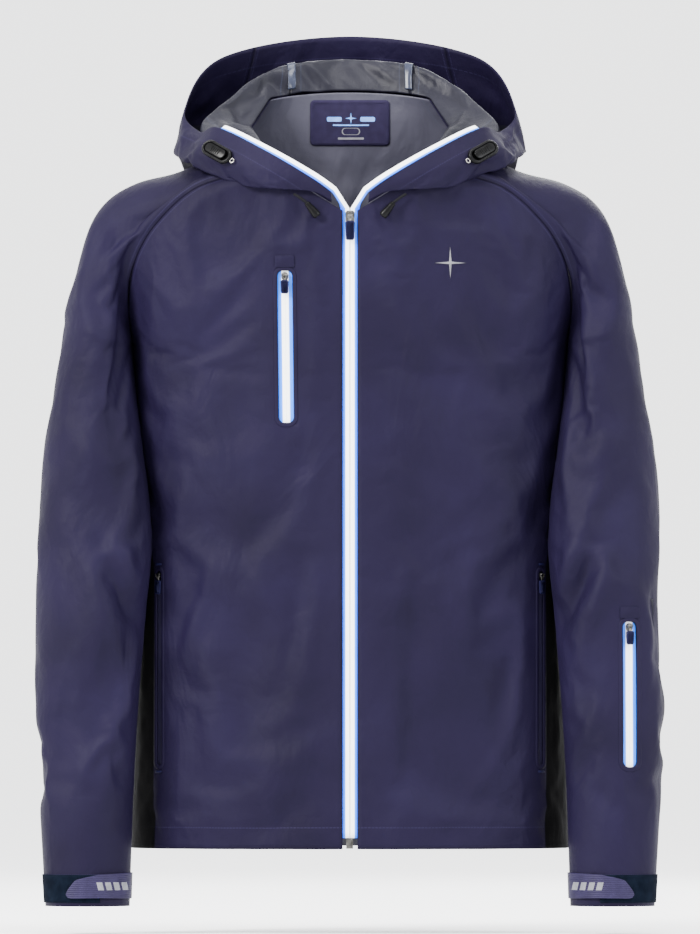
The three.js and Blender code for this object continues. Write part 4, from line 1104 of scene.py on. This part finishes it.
def wireRing(radius, wire, segments, steps):
    # a closed ring of wire round Y
    bm = bmesh.new()
    ring = bmesh.ops.create_circle(bm, cap_ends=False, segments=segments, radius=wire * mm)["verts"]
    bmesh.ops.translate(bm, verts=ring, vec=(radius * mm, 0, 0))
    bmesh.ops.spin(bm, geom=ring + list(bm.edges), cent=(0, 0, 0), axis=(0, 1, 0), angle=math.tau, steps=steps,
                   use_merge=True)
    bmesh.ops.remove_doubles(bm, verts=bm.verts, dist=1e-6)
    return bm


def makePull(name, size, place):
    tabTop = pullFit["tabTop"]
    tabLength = size["pullLength"] - tabTop
    bm = bmesh.new()
    stack(bm, layers(size["pullWidth"], tabLength, 2.3, [(0.55, -1.0), (0.12, -0.75), (0, -0.3), (0, 0.3), (0.12, 0.75),
                                                         (0.55, 1.0), (1.5, 1.0), (1.75, 0.75)], 0.14,
                     (0, -tabTop - tabLength / 2)))
    piece = meshPiece(f"{name}_pull_tab", placed(bm, place), looks["pull"])
    fasten(piece, f"{name}_zip_pull", "moulded_navy", f"{name}_pull")
    # the wire link from the slider's bar to the moulded tab
    bm = wireRing(pullFit["loop"], pullFit["wire"], 12, 32)
    for v in bm.verts:
        if v.co.z < 0:
            v.co.z -= pullFit["stretch"] * mm * ease(0, 1.6, -v.co.z / mm)
    link = meshPiece(f"{name}_pull_link", placed(bm, place), looks["metal"])
    fasten(link, f"{name}_zip_pull", "zip_metal")


def makeSlider(name, size, place):
    width, length, plate = size["width"], size["length"], size["plate"]
    y, z = barCentre(size)
    bm = bmesh.new()
    gap, behind = pullFit["gap"], pullFit["behind"]
    stack(bm, layers(width, length, 3.4, [(0.5, gap), (0.1, gap + 0.25), (0, gap + 0.7), (0.35, gap + plate - 0.25),
                                          (0.9, gap + plate)], 0.16))
    stack(bm, layers(width, length, 3.4, [(0.6, behind - plate), (0, behind - plate + 0.5), (0, behind)], 0.16))
    stack(bm, layers(0.8, length * 0.25, 0.3, [(0, behind - 0.2), (0, gap + 0.2)], 0, (0, length * 0.35)))
    for side in (-1, 1):
        cheek = side * (pullFit["neck"] + pullFit["gap"] + 0.45)
        stack(bm, layers(0.95, 3.6, 0.4, [(0, gap + 0.3), (0, y - 0.4), (0.1, y + 0.5), (0.25, y + 0.85)], 0,
                         (cheek, z)))
    pin = bmesh.ops.create_cone(bm, cap_ends=True, segments=20, radius1=pullFit["bar"] * mm,
                                radius2=pullFit["bar"] * mm, depth=(2 * pullFit["neck"] + 2.6) * mm)["verts"]
    bmesh.ops.rotate(bm, verts=pin, cent=(0, 0, 0), matrix=Matrix.Rotation(math.pi / 2, 3, "Y"))
    bmesh.ops.translate(bm, verts=pin, vec=(0, y * mm, z * mm))
    # a low crown over the throat of the slider
    stack(bm, layers(width * 0.42, length * 0.3, 1.6, [(0, gap + plate - 0.2), (0.2, gap + plate + 0.7),
                                                       (0.9, gap + plate + 1.1)], 0, (0, length * 0.3)))
    piece = meshPiece(f"{name}_slider_body", placed(bm, place), looks["metal"])
    crisp(piece)
    fasten(piece, f"{name}_zip_slider", "zip_metal", f"{name}_slider")
    makePull(name, size, place @ Matrix.Translation((0, y, z)))


def onCloth(name, u, w, lift):
    # a place on the cloth round a window, u across and w along in millimetres
    base = zipFrame[name]
    outward = base.col[1].xyz
    point = base.translation + base.col[0].xyz * u + base.col[2].xyz * w
    hit, normal, _, _ = clothUnder[name].ray_cast(toFrame(point + outward * 25), -outward, 0.05)
    if hit is None:
        return toFrame(point + outward * lift)
    if normal.dot(outward) < 0:
        normal = -normal
    return hit + normal * (lift * mm)


def mapByPlace(bm, clothMap):
    for face in bm.faces:
        for loop in face.loops:
            loop[clothMap].uv = (loop.vert.co.x, loop.vert.co.z)


def mapFlat(bm):
    # maps by the place in X and Z, with no seam near
    clothMap, seamMap = bm.loops.layers.uv.new("cloth"), bm.loops.layers.uv.new("seams")
    mapByPlace(bm, clothMap)
    for face in bm.faces:
        for loop in face.loops:
            loop[seamMap].uv = (0.1, 0.1)


def lipRun(size, grow, count):
    # the outline grown by some millimetres, its long sides divided, and brought to one count of points
    outline = roundedOutline(size["window"] + 2 * grow, size["length"] + 2 * grow, size["round"] + grow, 8)
    run = []
    for (ax, az), (bx, bz) in zip(outline, outline[1:] + outline[:1]):
        pieces = max(1, round(math.hypot(bx - ax, bz - az) / 9)) if abs(bz - az) > 30 else 1
        run += [(ax + (bx - ax) * i / pieces, az + (bz - az) * i / pieces) for i in range(pieces)]
    while count and len(run) != count:
        longest = max(range(len(run)), key=lambda i: math.dist(run[i], run[(i + 1) % len(run)]))
        if len(run) > count:
            run.pop(longest)
        else:
            nextPoint = run[(longest + 1) % len(run)]
            run.insert(longest + 1, tuple((a + b) / 2 for a, b in zip(run[longest], nextPoint)))
    return run


def makeLip(name):
    # a bonded lip with rounded ends frames the opening and turns down to the tape
    size = zipOf(name)
    reach = size["lip"]
    outlines = []
    for grow, lift in ((reach, 0.72), (reach - 1.2, 0.98), (0.6, 1.0), (0, 0.8), (0, size["fold"])):
        run = lipRun(size, grow, len(outlines[0]) if outlines else 0)
        outlines.append([onCloth(name, u, w, lift) for u, w in run])
    bm = bmesh.new()
    bridged(bm, outlines, closed=False)
    bmesh.ops.recalc_face_normals(bm, faces=bm.faces)
    outward = zipFrame[name].col[1].xyz
    upper = max(bm.faces, key=lambda f: abs(f.normal.dot(outward)) * f.calc_area())
    if upper.normal.dot(outward) < 0:
        bmesh.ops.reverse_faces(bm, faces=bm.faces)
    mapFlat(bm)
    area = sum(f.calc_area() for f in bm.faces)
    flat = ((size["window"] + 2 * reach) * mm, (size["length"] + 2 * reach) * mm)
    piece = meshPiece(f"{name}_lip", bm, looks["shell"])
    finishSheet(piece, [], "shell_fabric", flat, area, thickness=0.35,
                level=0, liningOffset=0)


def makeTape(name):
    size = zipOf(name)
    width, length = size["tape"], size["length"] + 6
    look, slot = ("paintedLightNavyTape", "zip_navy") if name.startswith("hand") else ("pocketTape", "zip_white")
    bm = bmesh.new()
    bmesh.ops.create_grid(bm, x_segments=12, y_segments=40, size=0.5)
    clothMap = bm.loops.layers.uv.new("cloth")
    for v in bm.verts:
        v.co = Vector((v.co.x * width, -0.5, v.co.y * length)) * mm
    mapByPlace(bm, clothMap)
    base = zipFrame[name]
    place = Matrix.Translation(base.col[1].xyz * (0.5 - size["sink"])) @ base
    piece = meshPiece(f"{name}_zip_tape", placed(bm, place), looks[look])
    finishSheet(piece, [f"{name}_tape"], slot, (width * mm, length * mm), width * length * mm * mm, thickness=1,
                level=0, liningOffset=0)
    start = size["length"] / 2 - 2 - sliders["pocket"]["length"] / 2
    makeSlider(name, sliders["pocket"], place @ Matrix.Translation((0, 0, start)))


makeSlider("front", sliders["front"],
           frameAt(torsoPoint(0, sliders["front"]["at"]) - zipOut * 1.5, zipDirection, zipOut))
for name in ("chest", "hand_right", "hand_left", "forearm"):
    makeLip(name)
    makeTape(name)
print("pocket zips done")


def raisedPatch(name, base, outline, centre, steps, material, slot, nodes=(), body="garment"):
    # a small raised shape that follows the cloth of a window's frame
    bm = bmesh.new()
    bridged(bm, [[onCloth(base, centre[0] + u * (1 - inset), centre[1] + w * (1 - inset), lift) for u, w in outline]
                 for inset, lift in steps])
    bmesh.ops.recalc_face_normals(bm, faces=bm.faces)
    mapFlat(bm)
    return fasten(meshPiece(name, bm, material), body, slot, *nodes)


def starOutline(reach, waist, points=4):
    reaches = [waist if i % 2 else reach for i in range(2 * points)]
    return [(r * math.sin(math.pi * i / points), r * math.cos(math.pi * i / points)) for i, r in enumerate(reaches)]


# garages over the slider ends, bar tacks at the hand pockets and the plain star on the chest
trims = {"garage": (21, 13), "tack": (9, 2.2), "star": (17, 1.9)}
for name in ("chest", "forearm"):
    raisedPatch(f"{name}_garage", name, roundedOutline(*trims["garage"], 1.5), (0, zips[name]["length"] / 2 + 9.6),
                ((0, 1.1), (0, 1.7), (0.04, 1.95)), looks["shell"], "shell_fabric")
for sideName, side in sides:
    for end, sign in (("top", 1), ("bottom", -1)):
        raisedPatch(f"bar_tack_{end}_{sideName}", f"hand_{sideName}", roundedOutline(*trims["tack"], 0.9),
                    (0, sign * (zips["hand"]["length"] / 2 + 7)), ((0, 0.9), (0, 1.7), (0.12, 2.0)), looks["pull"],
                    "shell_fabric")
raisedPatch("chest_star", "mark", starOutline(*trims["star"]), (0, 0), ((0, 0.8), (0, 1.15), (0.06, 1.25)),
            looks["silver"], "silver_print", ["chest_mark"])
print("trims done")

# pocket bags hang inside the cloth, closed round their edge
bags = {"depth": 8, "rim": 7.5, "cloth": 0.8, "middle": {"chest": 536.5, "hand": 193},
        "chest": (-140, -15, 22, 30), "hand": (40, 224, 39, 39)}


def makeBag(name, surface, inward, rim):
    def bagSurface(s, t):
        step = 1e-3
        s0, t0 = min(max(s, step), 1 - step), min(max(t, step), 1 - step)
        normal = (surface(s0 + step, t0) - surface(s0 - step, t0)).cross(
            surface(s0, t0 + step) - surface(s0, t0 - step)).normalized()
        rise = (math.sin(math.pi * s) * math.sin(math.pi * t)) ** 0.25 if 0 < s < 1 and 0 < t < 1 else 0
        return surface(s, t) + normal * inward * (rim + bags["depth"] * rise)
    bm, flat, area = clothGrid(bagSurface, 20, 24)
    piece = meshPiece(f"{name}_bag", bm, looks["lining"])
    finishSheet(piece, [f"{name}_pocket_bag"], "lining_fabric", flat, area, thickness=bags["cloth"],
                liningOffset=0)


def bagPlace(kind, side=1):
    fromX, toX, above, below = bags[kind]
    half, middle = zips[kind]["length"] / 2, bags["middle"][kind]
    low, high = middle - half - below, middle + half + above
    return lambda s, t: torsoPoint(side * (fromX + (toX - fromX) * s), low + (high - low) * t)


makeBag("chest", bagPlace("chest"), -1, bags["rim"])
for sideName, side in sides:
    makeBag(f"hand_{sideName}", bagPlace("hand", side), -side, bags["rim"])
makeBag("forearm", lambda s, t: sleevePoint(1, 0.19 + 0.23 * s, 13 - 2.3 * t), -1, bags["rim"])
print("bags done")

# cuffs: loop patch on the sleeve, moulded tab over it with plain raised bars, hook patch under the tab
cuff = {"tabTop": -26, "tabHeight": 27, "patchTop": -28, "patchHeight": 29,
        "tabThickness": 1.6, "patchThickness": 0.8, "stationHeight": 121,
        "patchLift": 1.7, "hookLift": 2.8, "tabLift": 4.3, "sewnLift": 2.0,
        "top": [(0, 0), (0.5, 0.06), (0.76, 0.20), (0.86, 0.28), (0.93, 0.50), (0.975, 0.66), (1, 0.80)],
        "bottom": [(0, 1), (0.45, 0.965), (0.93, 0.985), (0.975, 0.95), (1, 0.84)]}


def cuffRow(z):
    return 13 + (60 - z) / cuff["stationHeight"]


def between(rows, value):
    for (a, low), (b, high) in zip(rows, rows[1:]):
        if value <= b:
            return low + (high - low) * (value - a) / (b - a)
    return rows[-1][1]


def makeCuff(sideName, side):
    patchRow, tabRow = cuffRow(cuff["patchTop"]), cuffRow(cuff["tabTop"])
    patchTall, tabTall = cuff["patchHeight"] / cuff["stationHeight"], cuff["tabHeight"] / cuff["stationHeight"]

    def onSleeve(around, row, lift, normalRow):
        wide = sleevePoint(side, around + 0.002, normalRow) - sleevePoint(side, around - 0.002, normalRow)
        return sleevePoint(side, around, row) + wide.cross(Vector((0, 0, 1))).normalized() * side * lift

    def patch(s, t):
        return onSleeve(0.2 + 0.42 * s, patchRow + patchTall * t, cuff["patchLift"], patchRow)
    bm, flat, area = clothGrid(patch, 30, 10, (0.2, 0.5, (0, -1, 0)))
    piece = meshPiece(f"loop_patch_{sideName}", bm, looks["nap"])
    finishSheet(piece, [f"cuff_loop_{sideName}"], "hook_loop", flat, area, thickness=cuff["patchThickness"],
                level=0, liningOffset=0)

    def hook(s, t):
        row = tabRow + tabTall * (0.3 + 0.5 * t)
        return onSleeve(0.215 + 0.075 * s, row, cuff["hookLift"], row)
    bm, flat, area = clothGrid(hook, 6, 6, (0.5, 0.5, (0, -1, 0)))
    piece = meshPiece(f"hook_patch_{sideName}", bm, looks["nap"])
    finishSheet(piece, [f"cuff_hook_{sideName}"], "hook_loop", flat, area, thickness=cuff["patchThickness"],
                body=f"cuff_flap_{sideName}", level=0, liningOffset=0)

    def tabPlace(u, v, lift=0.0):
        # even steps across the flattened sleeve, from the sewn end at its front seam
        around = max(0.012, 0.5 * (0.5 - math.sin(math.asin(1 - 2 * u * 0.727) / 3)))
        row = tabRow + tabTall * v
        rise = cuff["sewnLift"] + (cuff["tabLift"] - cuff["sewnLift"]) * ease(0.05, 0.5, u)
        return onSleeve(around, row, rise + lift, row)

    def tab(s, t):
        top, bottom = between(cuff["top"], s), between(cuff["bottom"], s)
        return tabPlace(s, top + (bottom - top) * t)
    bm, _, _ = clothGrid(tab, 40, 12, (0.5, 0.5, (0, -1, 0)))
    mapByPlace(bm, bm.loops.layers.uv["cloth"])
    piece = meshPiece(f"tab_{sideName}", bm, looks["tab"])
    addWall(piece, cuff["tabThickness"])
    crisp(piece, 0.4, 3)
    fasten(piece, f"cuff_flap_{sideName}", "moulded_navy", f"cuff_tab_{sideName}")
    # plain slanted bars, raised from the tab
    for i in range(4):
        low = 0.06 + 0.125 * i
        bm = bmesh.new()
        middle = (low + 0.058, 0.51)
        outline = [(low, 0.66), (low + 0.085, 0.66), (low + 0.115, 0.36), (low + 0.03, 0.36)]
        bridged(bm, [[toFrame(tabPlace(middle[0] + (u - middle[0]) * (1 - inset),
                                       middle[1] + (v - middle[1]) * (1 - inset), lift)) for u, v in outline]
                     for inset, lift in ((0, 0.75), (0, 1.1), (0.12, 1.25))])
        bmesh.ops.recalc_face_normals(bm, faces=bm.faces)
        fasten(meshPiece(f"tab_bar_{i}_{sideName}", bm, looks["paleLine"], smooth=False), f"cuff_flap_{sideName}",
               "silver_print")


for sideName, side in sides:
    makeCuff(sideName, side)
print("cuffs done")

# hood adjusters: an oval rim with a deep well, a ribbed lock button in it and a small eyelet at its lower end
adjuster = {"width": 18, "length": 40, "station": 3.02, "across": 4.05,
            "rim": [(0.2, 0), (0, 0.4), (0, 2.4), (0.35, 3.4), (1.1, 4.05), (1.8, 4.2), (2.6, 4.0), (3.1, 3.4),
                    (3.2, 2.6), (3.2, 1)],
            "button": [(0, 2.8), (0, 3.7), (0.3, 4.2), (0.9, 4.4)], "rib": [(0, 4.3), (0, 4.75), (0.25, 4.95)]}
for sideName, side in sides:
    station, across = adjuster["station"], adjuster["across"]
    middle = hoodPoint(side, station, across)
    forward = hoodPoint(side, station + 0.05, across) - hoodPoint(side, station - 0.05, across)
    upward = hoodPoint(side, station, across + 0.05) - hoodPoint(side, station, across - 0.05)
    outward = (forward.cross(upward) * side).normalized()
    if outward.y > 0:
        outward.negate()
    slant = Vector((side * 34, 0, 24))
    slant -= outward * slant.dot(outward)
    place = frameAt(middle + outward * (cut["cloth"] / 2 + 0.5), slant, outward)
    bm = bmesh.new()
    stack(bm, layers(adjuster["width"], adjuster["length"], adjuster["width"] / 2, adjuster["rim"]))
    rim = meshPiece(f"adjuster_ring_{sideName}", placed(bm, place), looks["black"])
    fasten(rim, "garment", "moulded_black", f"adjuster_rim_{sideName}")
    bm = bmesh.new()
    stack(bm, layers(10.6, 28, 5, adjuster["button"], 0, (0, 1.5)))
    for i in range(5):
        stack(bm, layers(6.6, 1.1, 0.5, adjuster["rib"], 0, (0, -4 + 2.6 * i)))
    button = meshPiece(f"adjuster_lock_{sideName}", placed(bm, place), looks["black"])
    fasten(button, f"adjuster_press_{sideName}", "moulded_black", f"adjuster_button_{sideName}")
    bm = wireRing(2.3, 0.75, 10, 28)
    bmesh.ops.translate(bm, verts=bm.verts, vec=(0, 0.4 * mm, -22 * mm))
    fasten(meshPiece(f"eyelet_{sideName}", placed(bm, place), looks["brightMetal"]), "garment", "zip_metal")
print("adjusters done")

# neck label inside the back: a woven panel with a raised border of the same weave and plain printed shapes
label = {"width": 86, "height": 49, "bottom": 754, "lift": 1.5, "corner": 5, "print": 1.92,
         # width, height, corner, inner share and middle of the two frames
         "frames": {"border": (80, 43, 4, 0.985, (0, 0)), "box": (20, 7.5, 3.7, 0.87, (1, -9))},
         "bars": {"a": (16, 5, (-17, 4)), "b": (16, 5, (19, 4)), "c": (39, 1.6, (1, -2.2)), "d": (28, 2.2, (1, -16.5))}}
labelMiddle = label["bottom"] + label["height"] / 2


def onLabel(x, z, lift):
    # x and z from the label's middle; lift is inwards from the back cloth
    inward = surfaceNormal(lambda a, b: torsoPoint(a, b, True), x, labelMiddle + z)
    return toFrame(torsoPoint(x, labelMiddle + z, True) + inward * lift)


def labelShape(name, outline, shares, look, middle):
    # a thin print, from the outline in to each share of it
    bm = bmesh.new()
    bridged(bm, [[onLabel(middle[0] + x * share, middle[1] + z * share, label["print"]) for x, z in outline]
                 for share in shares], closed=False)
    bmesh.ops.recalc_face_normals(bm, faces=bm.faces)
    piece = meshPiece(f"label_{name}", bm, looks[look], smooth=False)
    addWall(piece, 0.16)
    fasten(piece, "garment", "label_fabric")


def makeLabel():
    bm = bmesh.new()
    bmesh.ops.create_grid(bm, x_segments=30, y_segments=18, size=0.5)
    for v in bm.verts:
        v.co = Vector((v.co.x * label["width"], 0, v.co.y * label["height"]))
    corner = label["corner"]
    for cornerX in (-1, 1):
        for cornerZ in (-1, 1):
            centre = Vector((cornerX * (label["width"] / 2 - corner), 0, cornerZ * (label["height"] / 2 - corner)))
            for turn in (15, 30, 45, 60, 75):
                away = Vector((cornerX * math.cos(math.radians(turn)), 0, cornerZ * math.sin(math.radians(turn))))
                bmesh.ops.bisect_plane(bm, geom=[*bm.verts, *bm.edges, *bm.faces], dist=1e-4,
                                       plane_co=centre + away * corner, plane_no=away, clear_outer=True)
    for v in bm.verts:
        v.co = onLabel(v.co.x, v.co.z, label["lift"])
    bm.normal_update()
    if sum(f.normal.y for f in bm.faces) > 0:
        bmesh.ops.reverse_faces(bm, faces=bm.faces)
    area = sum(f.calc_area() for f in bm.faces)
    piece = meshPiece("label_panel", bm, looks["label"])
    finishSheet(piece, ["neck_label"], "label_fabric", (label["width"] * mm, label["height"] * mm), area,
                thickness=0.5, level=0, liningOffset=0)
    for name, (width, height, radius, share, middle) in label["frames"].items():
        labelShape(name, roundedOutline(width, height, radius), (1, share), "label" if name == "border" else "paleLine",
                   middle)
    for name, (width, height, middle) in label["bars"].items():
        labelShape(f"bar_{name}", roundedOutline(width, height, height * 0.3, 3), (1, 0.5, 0.02),
                   "paleLine" if name == "d" else "print", middle)
    labelShape("star", starOutline(6.2, 1.3), (1, 0.5, 0.02), "print", (1, 5))


makeLabel()
print("label done")

# the remaining frame pieces get their finishes
for name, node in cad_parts.items():
    finish = "coil" if "_coil" in name else "metal" if name in ("retainer_box", "insertion_pin") else None
    if finish:
        node.data.materials.clear()
        node.data.materials.append(looks[finish])
